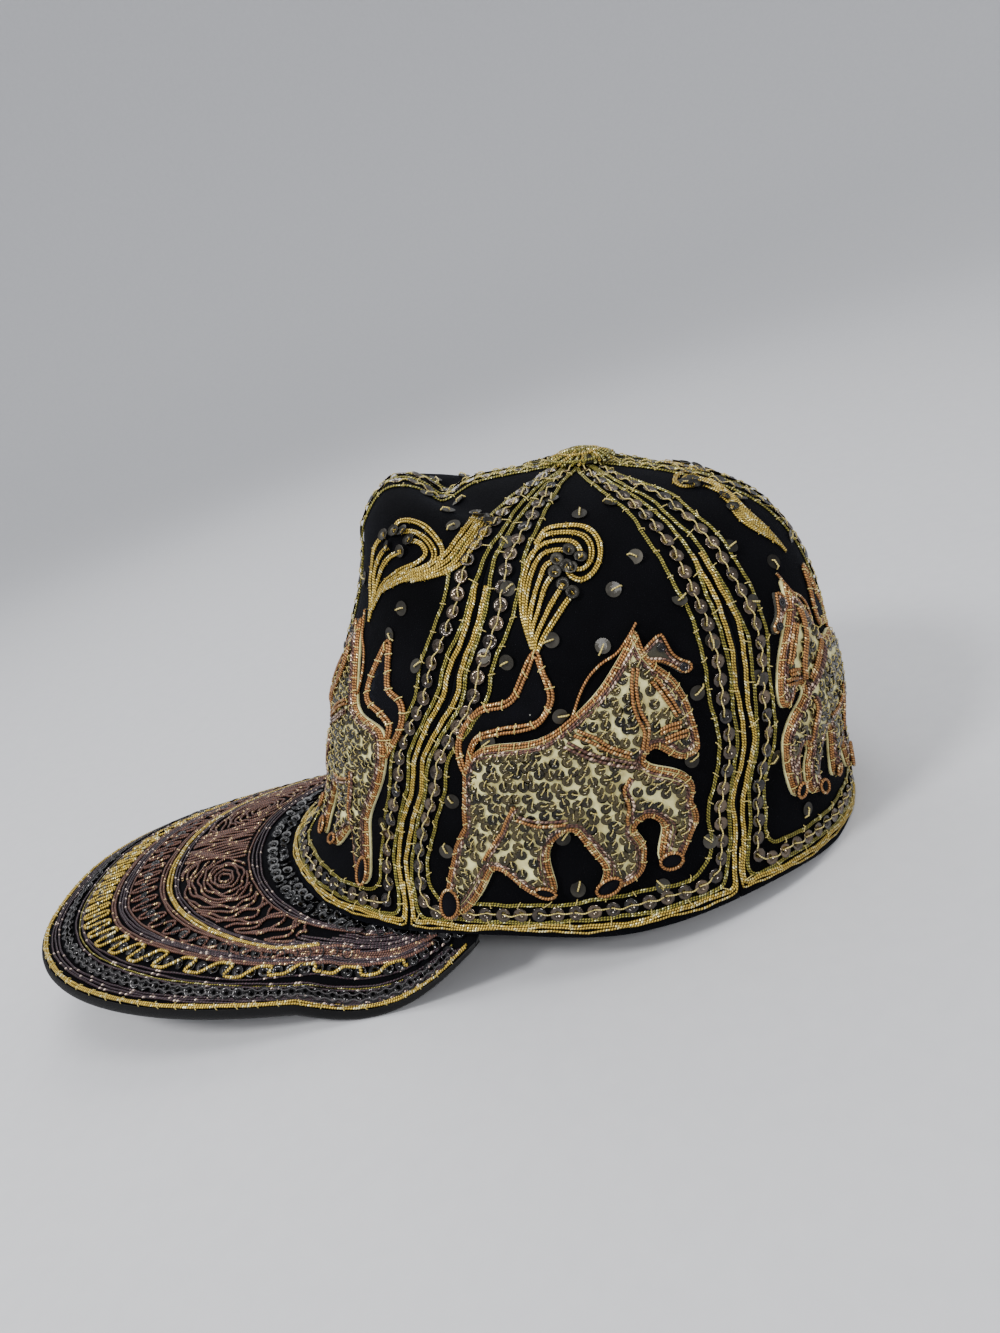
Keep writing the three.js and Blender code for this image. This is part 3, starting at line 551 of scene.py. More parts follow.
def sewing_tree():
    """Turns drawn routes into round cords, marked spots into sequins, and keeps padding."""
    tree = bpy.data.node_groups.new('sewn_work', 'GeometryNodeTree')
    sockets = tree.interface
    sockets.new_socket('Drawing', in_out='INPUT', socket_type='NodeSocketGeometry')
    sizes = {}
    for name, kind in (
        ('Cord Sides', 'Int'), ('Sequin Sides', 'Int'), ('Sequin Hole', 'Float'),
        ('Sequin Dish', 'Float'), ('Sequin Thickness', 'Float'), ('Round Sequins', 'Bool'),
    ):
        socket = sockets.new_socket(name, in_out='INPUT', socket_type=f'NodeSocket{kind}')
        sizes[name] = socket.identifier
    sockets.new_socket('Work', in_out='OUTPUT', socket_type='NodeSocketGeometry')
    given = node(tree, 'NodeGroupInput').outputs
    result = node(tree, 'NodeGroupOutput')

    def mark(name, kind):
        return node(tree, 'GeometryNodeInputNamedAttribute', {'Name': name},
                    data_type=kind).outputs['Attribute']

    def kinds(operation, value):
        return node(tree, 'FunctionNodeCompare', {2: mark('kind', 'INT'), 3: value},
                    data_type='INT', operation=operation).outputs[0]

    def offset(x, y):
        return node(tree, 'ShaderNodeCombineXYZ', {0: x, 1: y}).outputs[0]

    cords = node(tree, 'GeometryNodeSeparateGeometry',
                 {'Geometry': given['Drawing'], 'Selection': kinds('LESS_THAN', CUP)})
    others = node(tree, 'GeometryNodeSeparateGeometry',
                  {'Geometry': cords.outputs['Inverted'],
                   'Selection': kinds('LESS_THAN', CREAM_PAD)})
    routes = node(tree, 'GeometryNodeMeshToCurve', {'Mesh': cords.outputs['Selection']})
    ring = node(tree, 'GeometryNodeCurvePrimitiveCircle',
                {'Resolution': given['Cord Sides'], 'Radius': 1.0})
    place = node(tree, 'GeometryNodeInputPosition').outputs[0]
    ring = node(tree, 'GeometryNodeStoreNamedAttribute',
                {'Geometry': ring.outputs['Curve'], 'Name': 'spin', 'Value': place},
                data_type='FLOAT_VECTOR')
    tubes = node(tree, 'GeometryNodeCurveToMesh', {
        'Curve': routes.outputs[0], 'Profile Curve': ring.outputs[0],
        'Scale': mark('radius', 'FLOAT'), 'Fill Caps': True,
    })
    tubes = node(tree, 'GeometryNodeSetShadeSmooth', {'Geometry': tubes.outputs[0]})

    # A sequin of radius 1: a flat section from its hole to its edge is bent up more and more
    # towards the edge, then swept round a ring
    middle = maths(tree, 'MULTIPLY', maths(tree, 'ADD', given['Sequin Hole'], 1.0), 0.5)
    half = maths(tree, 'MULTIPLY', maths(tree, 'SUBTRACT', 1.0, given['Sequin Hole']), 0.5)
    inner = maths(tree, 'MULTIPLY', half, -1.0)
    section = node(tree, 'GeometryNodeCurvePrimitiveQuadrilateral', {
        'Point 1': offset(half, 0.0), 'Point 2': offset(half, given['Sequin Thickness']),
        'Point 3': offset(inner, given['Sequin Thickness']), 'Point 4': offset(inner, 0.0),
    }, mode='POINTS')
    section = node(tree, 'GeometryNodeSubdivideCurve', {'Curve': section.outputs[0], 'Cuts': 1})
    across = node(tree, 'ShaderNodeSeparateXYZ', {0: place}).outputs['X']
    share = maths(tree, 'DIVIDE', maths(tree, 'ADD', across, half),
                  maths(tree, 'MULTIPLY', half, 2.0))
    share = maths(tree, 'MINIMUM', maths(tree, 'MAXIMUM', share, 0.0), 1.0)
    bend = maths(tree, 'MULTIPLY', maths(tree, 'POWER', share, 2.2), given['Sequin Dish'])
    section = node(tree, 'GeometryNodeSetPosition', {
        'Geometry': section.outputs[0],
        'Offset': offset(0.0, maths(tree, 'MULTIPLY', bend, -1.0)),
    })
    hoop = node(tree, 'GeometryNodeCurvePrimitiveCircle',
                {'Resolution': given['Sequin Sides'], 'Radius': middle})
    sequin = node(tree, 'GeometryNodeCurveToMesh',
                  {'Curve': hoop.outputs[0], 'Profile Curve': section.outputs[0]})
    upright = node(tree, 'FunctionNodeAlignRotationToVector',
                   {'Vector': mark('facing', 'FLOAT_VECTOR')}, axis='Z')
    turned = node(tree, 'FunctionNodeAlignRotationToVector',
                  {'Rotation': upright.outputs[0], 'Vector': mark('run', 'FLOAT_VECTOR')},
                  axis='X', pivot_axis='Z')
    sequins = node(tree, 'GeometryNodeInstanceOnPoints', {
        'Points': others.outputs['Selection'], 'Instance': sequin.outputs[0],
        'Rotation': turned.outputs[0], 'Scale': mark('radius', 'FLOAT'),
    })
    sequins = node(tree, 'GeometryNodeRealizeInstances', {'Geometry': sequins.outputs[0]})
    sequins = node(tree, 'GeometryNodeSetShadeSmooth',
                   {'Geometry': sequins.outputs[0], 'Shade Smooth': given['Round Sequins']})
    work = node(tree, 'GeometryNodeJoinGeometry')
    for part in (others.outputs['Inverted'], sequins.outputs[0], tubes.outputs[0]):
        tree.links.new(part, work.inputs[0])
    work = node(tree, 'GeometryNodeRealizeInstances', {'Geometry': work.outputs[0]})
    for kind, finish in FINISHES.items():
        work = node(tree, 'GeometryNodeSetMaterial', {
            'Geometry': work.outputs[0], 'Selection': kinds('EQUAL', kind), 'Material': finish,
        })
    tree.links.new(work.outputs[0], result.inputs[0])
    return tree, sizes


sewn_work, sewing_sizes = sewing_tree()


def spaced(columns, step, closed=False):
    """Points at even steps along a line, with any further columns carried along."""
    columns = np.asarray(columns, float)
    if closed:
        columns = np.vstack([columns, columns[:1]])
    size = min(3, columns.shape[1])
    length = np.r_[0, np.cumsum(np.linalg.norm(np.diff(columns[:, :size], axis=0), axis=1))]
    count = max(int(np.ceil(length[-1] / step)), 2)
    at = np.linspace(0, length[-1], count + 1)
    if closed:
        at = at[:-1]
    return np.stack([np.interp(at, length, column) for column in columns.T], 1)


def run_of(points):
    return unit(np.gradient(points, axis=0))


def length_along(points):
    return np.r_[0, np.cumsum(np.linalg.norm(np.diff(points, axis=0), axis=1))]


def hand_laid(points, facing, amount, rng):
    """Lets a line stray a little to its sides, as cords couched by hand do."""
    at = length_along(points)
    stray = np.zeros(len(points))
    for wavelength, share in ((7.0, 0.6), (17.0, 1.2), (41.0, 2.0)):
        stray += share * np.sin(at * 2 * np.pi / wavelength + rng.uniform(0, 2 * np.pi))
    side = unit(np.cross(facing, run_of(points)))
    return points + side * (stray * amount / 2)[:, None]


def beside_line(points, facing, side, lift=0.0):
    """The line that runs side mm to the left of another, lift mm higher."""
    across = unit(np.cross(facing, run_of(points)))
    return points + across * np.reshape(side, (-1, 1)) + facing * np.reshape(lift, (-1, 1))


class Sewing:
    """What is sewn on one piece, in mm: routes of cords, spots of sequins, and padding."""

    def __init__(self):
        self.blocks = []
        self.edges = []
        self.faces = []
        self.count = 0

    def gather(self, kind, points, radius=0, along=0, tint=0.3, run=(1, 0, 0), facing=(0, 0, 1)):
        """Adds points with what the sewing tree has to know of each, and counts them."""
        n = len(points)
        block = [np.asarray(points, float), np.full(n, kind)]
        block += [np.broadcast_to(v, n).astype(float) for v in (radius, along, tint)]
        block += [np.broadcast_to(v, (n, 3)).astype(float) for v in (run, facing)]
        self.blocks.append(block)
        start = self.count
        self.count += n
        return start

    def cord(self, kind, points, radius, tint=0.3, closed=False):
        if len(points) < 2:
            return
        start = self.gather(kind, points, radius, length_along(points), tint)
        ids = start + np.arange(len(points))
        self.edges += np.stack([ids[:-1], ids[1:]], 1).tolist()
        if closed:
            self.edges.append([int(ids[-1]), int(ids[0])])

    def sequins(self, kind, points, facing, run, radius, rng, lean=0.16):
        if len(points) == 0:
            return
        facing = unit(facing + rng.normal(0, lean, np.shape(facing)))
        self.gather(kind, points, radius, 0, rng.uniform(0, 1, len(points)), run, facing)

    def padding(self, kind, points, faces):
        start = self.gather(kind, points)
        self.faces += [[int(i) + start for i in face] for face in faces]

    def add(self, other):
        start = self.count
        self.blocks += other.blocks
        self.edges += [[a + start, b + start] for a, b in other.edges]
        self.faces += [[i + start for i in face] for face in other.faces]
        self.count += other.count

    def mirrored(self):
        copy = Sewing()
        flip = np.array([-1, 1, 1])
        for points, kind, radius, along, tint, run, facing in self.blocks:
            copy.blocks.append([points * flip, kind, radius, along, tint, run * flip,
                                facing * flip])
        copy.edges = list(self.edges)
        copy.faces = [face[::-1] for face in self.faces]
        copy.count = self.count
        return copy


def sew(name, work, slot, replaced=(), padded=None, dish=0.3, hole=0.2, sides=SEQUIN_SIDES,
        rounded=True):
    """Sews down what was gathered, as one plain mesh, and hands it to the frame."""
    points, kind, radius, along, tint, run, facing = (
        np.concatenate([block[i] for block in work.blocks]) for i in range(7))
    mesh = bpy.data.meshes.new(f'{name}_drawing')
    mesh.from_pydata(laid_down(points).tolist(), work.edges, work.faces)
    mesh.update()
    for label, values, sort, field in (
        ('kind', kind, 'INT', 'value'), ('radius', radius / 1000, 'FLOAT', 'value'),
        ('along', along, 'FLOAT', 'value'), ('tint', tint, 'FLOAT', 'value'),
        ('run', pitched(run), 'FLOAT_VECTOR', 'vector'),
        ('facing', pitched(facing), 'FLOAT_VECTOR', 'vector'),
    ):
        layer = mesh.attributes.new(label, sort, 'POINT')
        values = values.astype(np.int32 if sort == 'INT' else np.float32)
        layer.data.foreach_set(field, values.ravel())
    mesh.polygons.foreach_set('use_smooth', np.ones(len(mesh.polygons), bool))
    piece = bpy.data.objects.new(name, mesh)
    bpy.context.scene.collection.objects.link(piece)
    sewing = piece.modifiers.new('sewing', 'NODES')
    sewing.node_group = sewn_work
    for label, value in (
        ('Cord Sides', CORD_SIDES), ('Sequin Sides', sides), ('Sequin Hole', hole),
        ('Sequin Dish', dish), ('Sequin Thickness', SEQUIN_THICK), ('Round Sequins', rounded),
    ):
        sewing[sewing_sizes[label]] = value
    bpy.context.view_layer.update()
    graph = bpy.context.evaluated_depsgraph_get()
    sewn = bpy.data.meshes.new_from_object(piece.evaluated_get(graph),
                                           preserve_all_data_layers=True, depsgraph=graph)
    piece.modifiers.clear()
    piece.data = sewn
    sewn.name = name
    used = np.zeros(len(sewn.polygons), np.int32)
    sewn.polygons.foreach_get('material_index', used)
    kept = np.unique(used)
    finishes = [sewn.materials[int(i)] for i in kept]
    sewn.materials.clear()
    for finish in finishes:
        sewn.materials.append(finish)
    sewn.polygons.foreach_set('material_index', np.searchsorted(kept, used).astype(np.int32))
    sewn.update()
    bpy.data.meshes.remove(mesh)
    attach(piece, 'root')
    if replaced:
        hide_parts(*replaced)


def sew_pair(name, work, slot, replaced=None, **how):
    """Sews down the left-hand work, and its mirror image on the right."""
    for hand, part in (('left', work), ('right', work.mirrored())):
        sew(f'{name}_{hand}', part, slot, [f'{replaced}_{hand}'] if replaced else (), **how)


meridian_angles = np.linspace(0, np.pi, 181)
meridian_points = bare_crown(meridian_angles[:, None], np.linspace(0, 1, 121)[None])
meridian_steps = np.linalg.norm(np.diff(meridian_points, axis=1), axis=-1).sum(1)


def meridian(phi):
    """Length of the way up from the rim to the apex."""
    return np.interp(np.abs(wrapped(phi)), meridian_angles, meridian_steps)


def frame_route(name, share, height, corner, top=FRAME_TOP, closer=0.0):
    """Line of a panel's frame: down its first seam, along the rim and up the second."""
    ends = []
    for seam, side in zip(PANEL_SEAMS[name], (1, -1)):
        length = meridian(seam(0.05))
        t = np.linspace(top, (height + corner) / length, 110)[:-1]
        share_there = share - closer * eased([(0.45, 0.0), (0.66, 1.0)], 1, t)
        straight = besides(seam(t), t, side * share_there * band_half_width(t))
        turn = np.linspace(np.pi, 1.5 * np.pi, 9)
        up = height + corner * (1 + np.sin(turn))
        low = up / length
        inset = share * band_half_width(low) + corner * (1 + np.cos(turn))
        bend = besides(seam(low), low, side * inset)
        ends.append((np.r_[straight, bend], np.r_[t, low]))
    (phi_a, t_a), (phi_b, t_b) = ends
    along_rim = np.linspace(phi_a[-1], phi_b[-1], 90)[1:-1]
    phi = np.r_[phi_a, along_rim, phi_b[::-1]]
    t = np.r_[t_a, height / meridian(along_rim), t_b[::-1]]
    return phi, t


def crown_line(phi, t, out, step):
    """Evenly spaced points of a line on the crown, the way they face, and their height."""
    points = crown(phi, t, out)
    facing = unit(crown(phi, t, out + 1.0) - points)
    place = np.linspace(0, 1, len(points))
    rows = spaced(np.column_stack([points, facing, t * meridian(phi), place]), step)
    return rows[:, :3], unit(rows[:, 3:6]), rows[:, 6], rows[:, 7]


BANDS = {
    'front': ('seam_front', 'seam_front_left'),
    'side': ('seam_front_left', 'seam_back_left'),
    'back': ('seam_back_left', 'seam_back'),
}
bands = {name: Sewing() for pair in BANDS.values() for name in pair}
bands['rim_band_left'] = Sewing()


def band_of(name, up, place):
    """Which band each point of a frame lies in."""
    first, second = BANDS[name]
    return np.where(up < RIM_TOP, 'rim_band_left', np.where(place < 0.5, first, second))


def lay_frame_cord(kind, points, owner, radius, tint):
    """Adds a cord to the bands it passes through, cut where one hands over to the next."""
    cuts = np.flatnonzero(owner[1:] != owner[:-1]) + 1
    for start, end in zip(np.r_[0, cuts], np.r_[cuts, len(points)]):
        piece = points[start:min(end + 1, len(points))]
        bands[str(owner[start])].cord(kind, piece, radius, tint)


for number, name in enumerate(PANEL_SEAMS):
    rng = np.random.default_rng(40 + number)
    for kind, radius, strands, share, height, corner, top, closer in FRAME_CORDS:
        phi, t = frame_route(name, share, height, corner, top, closer)
        points, facing, up, place = crown_line(phi, t, radius + 0.1, CORD_STEP)
        points = hand_laid(points, facing, 0.34, rng)
        owner = band_of(name, up, place)
        for strand in range(strands):
            aside = (2 * strand + 1 - strands) * radius * 0.98
            line = beside_line(points, facing, aside)
            lay_frame_cord(kind, line, owner, radius, rng.uniform(0.05, 0.5))

    # Cup sequins in a row, smaller towards the top, tied down by a thread that dips into
    # their holes
    phi, t = frame_route(name, *SEQUIN_ROW)
    points, facing, up, place = crown_line(phi, t, 0.5, SEQUIN_SPACE)
    space = length_along(points)[-1] / (len(points) - 1)
    owner = band_of(name, up, place)
    risen = up / meridian(PANEL_SEAMS[name][0](0.8))
    size = np.minimum(CUP_RADIUS, 0.235 * band_half_width(risen))
    run = run_of(points)
    for band in np.unique(owner):
        mine = (owner == band) & (risen < 0.93)
        bands[str(band)].sequins(CUP, points[mine], facing[mine], run[mine], size[mine], rng,
                                 0.09)
    points, facing, up, place = crown_line(phi, t, 0.5, 0.9)
    turn = length_along(points) * 2 * np.pi / space
    sway = 0.22 * np.sin(turn / 2) + 0.18 * np.sin(turn / 3.3)
    thread = beside_line(points, facing, sway, 0.35 - 0.6 * np.cos(turn))
    lay_frame_cord(THREAD, thread, band_of(name, up, place), 0.2, 0.2)

    # Cross stitches over the outer olive cords, and over the gold and inner olive ones
    for share, height, corner, half, gap in FRAME_STITCHES:
        phi, t = frame_route(name, share, height, corner)
        points, facing, up, place = crown_line(phi, t, 0.2, gap)
        owner = band_of(name, up, place)
        across = unit(np.cross(facing, run_of(points)))
        skew = run_of(points) * rng.normal(0, 0.5, (len(points), 1))
        for i in range(1, len(points) - 1):
            stitch = [points[i] + (across[i] * side + skew[i] * side / half) + facing[i] * lift
                      for side, lift in ((-half, 0), (-0.7 * half, 0.75), (0.7 * half, 0.75),
                                         (half, 0))]
            bands[str(owner[i])].cord(THREAD, stitch, 0.15, 0.2)

for name in ('seam_front', 'seam_back', 'rim_band'):
    sew_pair(f'{name}_couching', bands[f'{name}_left'], 'couching', name)
for name in ('seam_front', 'seam_back'):
    both = Sewing()
    both.add(bands[name])
    both.add(bands[name].mirrored())
    sew(f'{name}_couching', both, 'couching', [name])

# Button: where the six seams meet, the ends of the cords are bunched over a low pad and
# tied down across one another.
BUTTON_R = 10.5
BUTTON_H = 2.4
PAD_SPOKES = 24
PAD_RINGS = 5
CORD_ENDS = 30


def button_point(radius, angle, lift=0.0):
    """Point over the low dome at the apex, radius as a share of the button's own."""
    radius, angle, lift = np.broadcast_arrays(radius, angle, lift)
    x = BUTTON_R * radius * np.cos(angle)
    y = BUTTON_R * radius * np.sin(angle)
    apex = bare_crown(0.0, 1.0)
    slope = -0.05 * np.maximum(BUTTON_R * radius - 4, 0)
    z = 0.5 + BUTTON_H * (1 - np.clip(radius, 0, 1) ** 2) + slope + lift
    return np.stack([x + apex[0], y + apex[1], z + apex[2]], -1)


bunch = Sewing()
rng = np.random.default_rng(7)
spokes = np.linspace(0, 2 * np.pi, PAD_SPOKES, endpoint=False)
rings = np.linspace(0, 0.92, PAD_RINGS + 1)[1:]
top = button_point(rings[:, None], spokes[None]).reshape(-1, 3)
floor_z = bare_crown(0.0, 1.0)[2] + 0.25
base = top[-PAD_SPOKES:] * [1, 1, 0] + [0, 0, floor_z]
middle = [[0, bare_crown(0.0, 1.0)[1], floor_z]]
edge = 1 + PAD_SPOKES * (PAD_RINGS - 1)
foot = edge + PAD_SPOKES
last = foot + PAD_SPOKES
dome = []
for j in range(PAD_SPOKES):
    k = (j + 1) % PAD_SPOKES
    dome.append([0, 1 + j, 1 + k])
    for a in range(1, edge, PAD_SPOKES):
        b = a + PAD_SPOKES
        dome += [[a + j, b + j, b + k], [a + j, b + k, a + k]]
    dome += [[edge + j, foot + j, foot + k], [edge + j, foot + k, edge + k],
             [foot + k, foot + j, last]]
bunch.padding(CORD_PAD, np.vstack([button_point(0.0, 0.0)[None], top, base, middle]), dome)
for i in range(CORD_ENDS):
    angle = 2 * np.pi * i / CORD_ENDS + rng.normal(0, 0.04)
    reach = np.linspace(1.08, 0.1, 12)
    swirl = angle + 0.5 * (1 - reach) + rng.normal(0, 0.05)
    spoke = button_point(reach, swirl, 0.45 + 0.3 * (i % 2))
    bunch.cord(GOLD if i % 3 == 0 else OLIVE, spoke, 0.52, rng.uniform(0, 0.5))
around = np.linspace(0, 2 * np.pi, 41)[:-1]
for reach, kind in ((0.95, OLIVE), (0.6, GOLD), (0.28, OLIVE)):
    bunch.cord(kind, button_point(reach, around, 1.0), 0.5, 0.2, closed=True)
sew('button_couching', bunch, 'couching', ['crown_button'])

# Horses: on each panel a prancing horse of cream cloth, padded from below and sewn all over
# with bronze cup sequins. A pair of copper cords and a pair of mauve ones follow its
# outline, and the harness, mane and tail are couched cords too.
HORSE = [
    (14.0, 88.2), (17.0, 80.6), (20.8, 76.2), (27.0, 71.2), (34.3, 63.2), (39.4, 54.6),
    (40.2, 48.6), (33.2, 47.6), (25.2, 54.0), (21.5, 49.8), (35.4, 44.6), (41.6, 38.6),
    (39.2, 29.0), (34.8, 16.1), (27.3, 18.6), (29.0, 30.5), (26.5, 33.8), (20.9, 30.9),
    (25.0, 25.0), (24.1, 15.0), (9.2, 12.0), (13.4, 19.4), (9.6, 26.0), (4.4, 34.0),
    (-1.6, 29.0), (-0.4, 13.2), (-8.6, 13.3), (-17.7, 23.9), (-22.5, 16.8), (-30.6, 8.6),
    (-37.0, 6.0), (-39.8, 9.8), (-33.4, 21.8), (-30.5, 29.0), (-36.2, 41.4), (-37.4, 50.0),
    (-34.8, 56.4), (-30.0, 59.8), (-8.0, 60.6), (1.6, 69.5), (10.5, 80.6),
]
# Which way each panel's horse faces, its width and height against the side one's, and how
# far it stands from the middle of the panel and from its place over the rim
HORSE_AT = {
    'front': (-1, 0.66, 1.06, 0.8, 5.8),
    'side': (1, 0.96, 1.0, -0.6, 0.0),
    'back': (-1, 0.6, 0.91, 0.3, 6.6),
}
PAD_LOW = 0.15
PAD_EDGE = 0.9
PAD_HIGH = 2.75
PAD_ROUND = 2.4
ROW_STEP = 0.87
SEQUIN_FIELD = 3.4
STITCH_TURN = 1.1
# Harness and inner lines, drawn on the horse like its outline
HARNESS = [
    (COPPER, [(14.1, 76.5), (13.6, 72.4), (15.1, 67.5), (17.9, 63.3), (21.3, 59.1),
              (21.9, 54.0)]),
    (COPPER, [(0.1, 61.9), (6.2, 59.1), (10.6, 56.4), (17.9, 53.0)]),
    (MAUVE, [(-1.9, 59.0), (7.9, 54.0), (19.6, 50.0)]),
    (COPPER, [(19.6, 72.4), (25.7, 66.1), (30.2, 61.2)]),
    (COPPER, [(25.7, 57.7), (28.5, 58.4), (31.9, 58.4)]),
    (COPPER, [(27.9, 55.0), (31.4, 55.7), (34.7, 55.7)]),
]
LEG_LINES = [
    [(18.4, 46.6), (16.8, 43.8), (20.2, 38.3), (20.6, 33.0)],
    [(-16.1, 42.4), (-17.8, 37.6), (-18.3, 29.2), (-20.1, 26.0)],
    [(-14.5, 39.0), (-6.0, 36.9), (2.3, 36.6)],
]
MANE = [(-2.7, 60.5), (-2.2, 66.1), (-0.5, 73.7), (4.0, 78.6), (9.6, 81.4), (14.4, 88.6)]
EAR_KNOT = [
    (15.8, 79.6), (19.0, 82.6), (22.6, 84.4), (24.3, 81.4), (26.2, 78.0), (29.2, 75.8),
    (32.6, 74.4), (33.0, 71.6), (29.8, 71.4), (26.0, 74.2), (22.4, 76.2), (18.2, 76.8),
]
TAIL = [
    (-35.4, 51.0), (-39.8, 57.0), (-40.4, 63.3), (-35.6, 69.0), (-24.5, 71.7),
    (-19.5, 78.6), (-15.6, 84.6), (-12.6, 79.6), (-9.6, 71.6), (-12.4, 65.6),
    (-25.6, 63.4), (-34.4, 60.6),
]
# Centre, half length, half width and slope in degrees of each black hoof
HOOVES = [
    (-36.0, 11.2, 5.0, 2.9, 68), (-4.6, 15.2, 3.2, 1.7, -12), (13.4, 14.9, 3.9, 2.3, 22),
    (31.3, 19.0, 3.5, 2.4, -16),
]


def placed(place, flat):
    """From the drawing of a motif to flat millimetres on its panel."""
    face, wide, tall, across, up = place
    flat = np.asarray(flat, float)
    return flat * [face * wide, tall] + [across, up]


def drawn_route(place, route, count, closed=False):
    return smooth_line(placed(place, route), closed)(np.linspace(0, 1, count))


def on_panel(name, flat, out):
    """Lays flat millimetres of a panel on the crown."""
    first, last = PANEL_SEAMS[name]
    flat = np.asarray(flat, float)
    t = flat[..., 1] / meridian((first(0.0) + last(0.0)) / 2)
    phi = besides((first(t) + last(t)) / 2, t, flat[..., 0])
    return crown(phi, t, out)


def lay_flat(name, flat, out):
    """Points on the panel and the way they face."""
    points = on_panel(name, flat, out)
    return points, unit(on_panel(name, flat, np.asarray(out) + 1.0) - points)


def clipped_corners(outline, times=2):
    """Rounds an outline by cutting its corners."""
    outline = np.asarray(outline, float)
    for _ in range(times):
        after = np.roll(outline, -1, axis=0)
        outline = np.stack([0.8 * outline + 0.2 * after, 0.2 * outline + 0.8 * after], 1)
        outline = outline.reshape(-1, 2)
    return outline


def depth_in(outline, flat):
    """Distance in from an outline, negative outside it."""
    flat = np.asarray(flat, float)
    a = outline[None]
    b = np.roll(outline, -1, axis=0)[None]
    p = flat.reshape(-1, 1, 2)
    ab = b - a
    w = np.clip(((p - a) * ab).sum(-1) / np.maximum((ab * ab).sum(-1), 1e-9), 0, 1)
    away = np.linalg.norm(p - a - ab * w[..., None], axis=-1).min(1)
    above = (a[..., 1] > p[..., 1]) != (b[..., 1] > p[..., 1])
    height = np.where(np.abs(ab[..., 1]) < 1e-9, 1e-9, ab[..., 1])
    cross = a[..., 0] + (p[..., 1] - a[..., 1]) / height * ab[..., 0]
    inside = ((above & (p[..., 0] < cross)).sum(1) % 2) == 1
    return np.where(inside, away, -away).reshape(flat.shape[:-1])


def inner_loops(outline, insets, cell=0.7):
    """Closed lines that run at the given distances inside an outline."""
    low = outline.min(0) - 1.0
    high = outline.max(0) + 1.0
    xs = np.arange(low[0], high[0] + cell, cell)
    ys = np.arange(low[1], high[1] + cell, cell)
    field = depth_in(outline, np.stack(np.meshgrid(xs, ys, indexing='ij'), -1))
    found = {}
    for level in insets:
        high_side = field > level
        corners = np.stack([high_side[:-1, :-1], high_side[1:, :-1], high_side[1:, 1:],
                            high_side[:-1, 1:]])
        mixed = corners.any(0) & ~corners.all(0)
        links = {}
        for i, j in np.argwhere(mixed):
            sides = [(i, j, 0), (i + 1, j, 1), (i, j + 1, 0), (i, j, 1)]
            here = corners[:, i, j]
            cut = [sides[k] for k in range(4) if here[k] != here[(k + 1) % 4]]
            for a, b in ([cut] if len(cut) == 2 else [cut[:2], cut[2:]]):
                links.setdefault(a, []).append(b)
                links.setdefault(b, []).append(a)
        loops = []
        seen = set()
        for first in sorted(links):
            if first in seen:
                continue
            loop = [first]
            seen.add(first)
            while True:
                onward = [side for side in links[loop[-1]] if side not in seen]
                if not onward:
                    break
                loop.append(onward[0])
                seen.add(onward[0])
            points = []
            for i, j, way in loop:
                a = field[i, j]
                b = field[i + 1, j] if way == 0 else field[i, j + 1]
                w = (level - a) / (b - a)
                points.append((xs[i] + cell * w * (way == 0), ys[j] + cell * w * (way == 1)))
            if len(points) > 12:
                loops.append(np.array(points))
        found[level] = loops
    return found


def pad_height(outline, flat, edge=PAD_EDGE, high=PAD_HIGH, rounding=PAD_ROUND):
    """Height of padding, edge at its outline and rising to high within."""
    depth = np.maximum(depth_in(outline, flat), 0)
    return edge + (high - edge) * (1 - np.exp(-depth / rounding))


def staggered(outline, spacing):
    """Spots in staggered rows, wherever an outline reaches."""
    low = outline.min(0)
    high = outline.max(0) + spacing
    xs, ys = np.meshgrid(np.arange(low[0], high[0], spacing),
                         np.arange(low[1], high[1], spacing * ROW_STEP))
    xs = xs + (np.arange(len(xs)) % 2)[:, None] * spacing / 2
    return np.stack([xs.ravel(), ys.ravel()], 1)


def add_pad(work, kind, name, outline, spacing, edge, high, rounding, low=PAD_LOW):
    """Adds a padded shape, closed over and under."""
    rim = spaced(outline, spacing * 0.75, closed=True)
    inner = staggered(outline, spacing)
    inner = inner[depth_in(outline, inner) > spacing * 0.45]
    flat = np.vstack([rim, inner])
    count = len(rim)
    made = delaunay_2d_cdt([tuple(p) for p in flat], [], [list(range(count))], 1, 1e-5)
    flat = np.array([tuple(p) for p in made[0]])
    faces = np.array([face for face in made[2] if len(face) == 3])
    a, b, c = (flat[faces[:, k]] for k in range(3))
    turn = (b[:, 0] - a[:, 0]) * (c[:, 1] - a[:, 1]) - (b[:, 1] - a[:, 1]) * (c[:, 0] - a[:, 0])
    faces[turn < 0] = faces[turn < 0][:, ::-1]
    n = len(flat)
    around = np.arange(count)
    if ((rim[:, 0] * np.roll(rim[:, 1], -1)) - (np.roll(rim[:, 0], -1) * rim[:, 1])).sum() < 0:
        around = around[::-1]
    after = np.roll(around, -1)
    walls = np.stack([around, around + n, after + n, after], 1)
    closed = faces.tolist() + (faces[:, ::-1] + n).tolist() + walls.tolist()
    height = pad_height(outline, flat, edge, high, rounding)
    height[:count] = edge
    points = np.vstack([on_panel(name, flat, height), on_panel(name, flat, low)])
    # The faces turn round where the panel's flat picture is seen from behind
    corner, across, above = on_panel(name, flat[0] + np.array([[0, 0], [1, 0], [0, 1]]), 0)
    proud = on_panel(name, flat[0], 1)
    if np.linalg.det(np.stack([across - corner, above - corner, proud - corner])) < 0:
        closed = [face[::-1] for face in closed]
    work.padding(kind, points, closed)


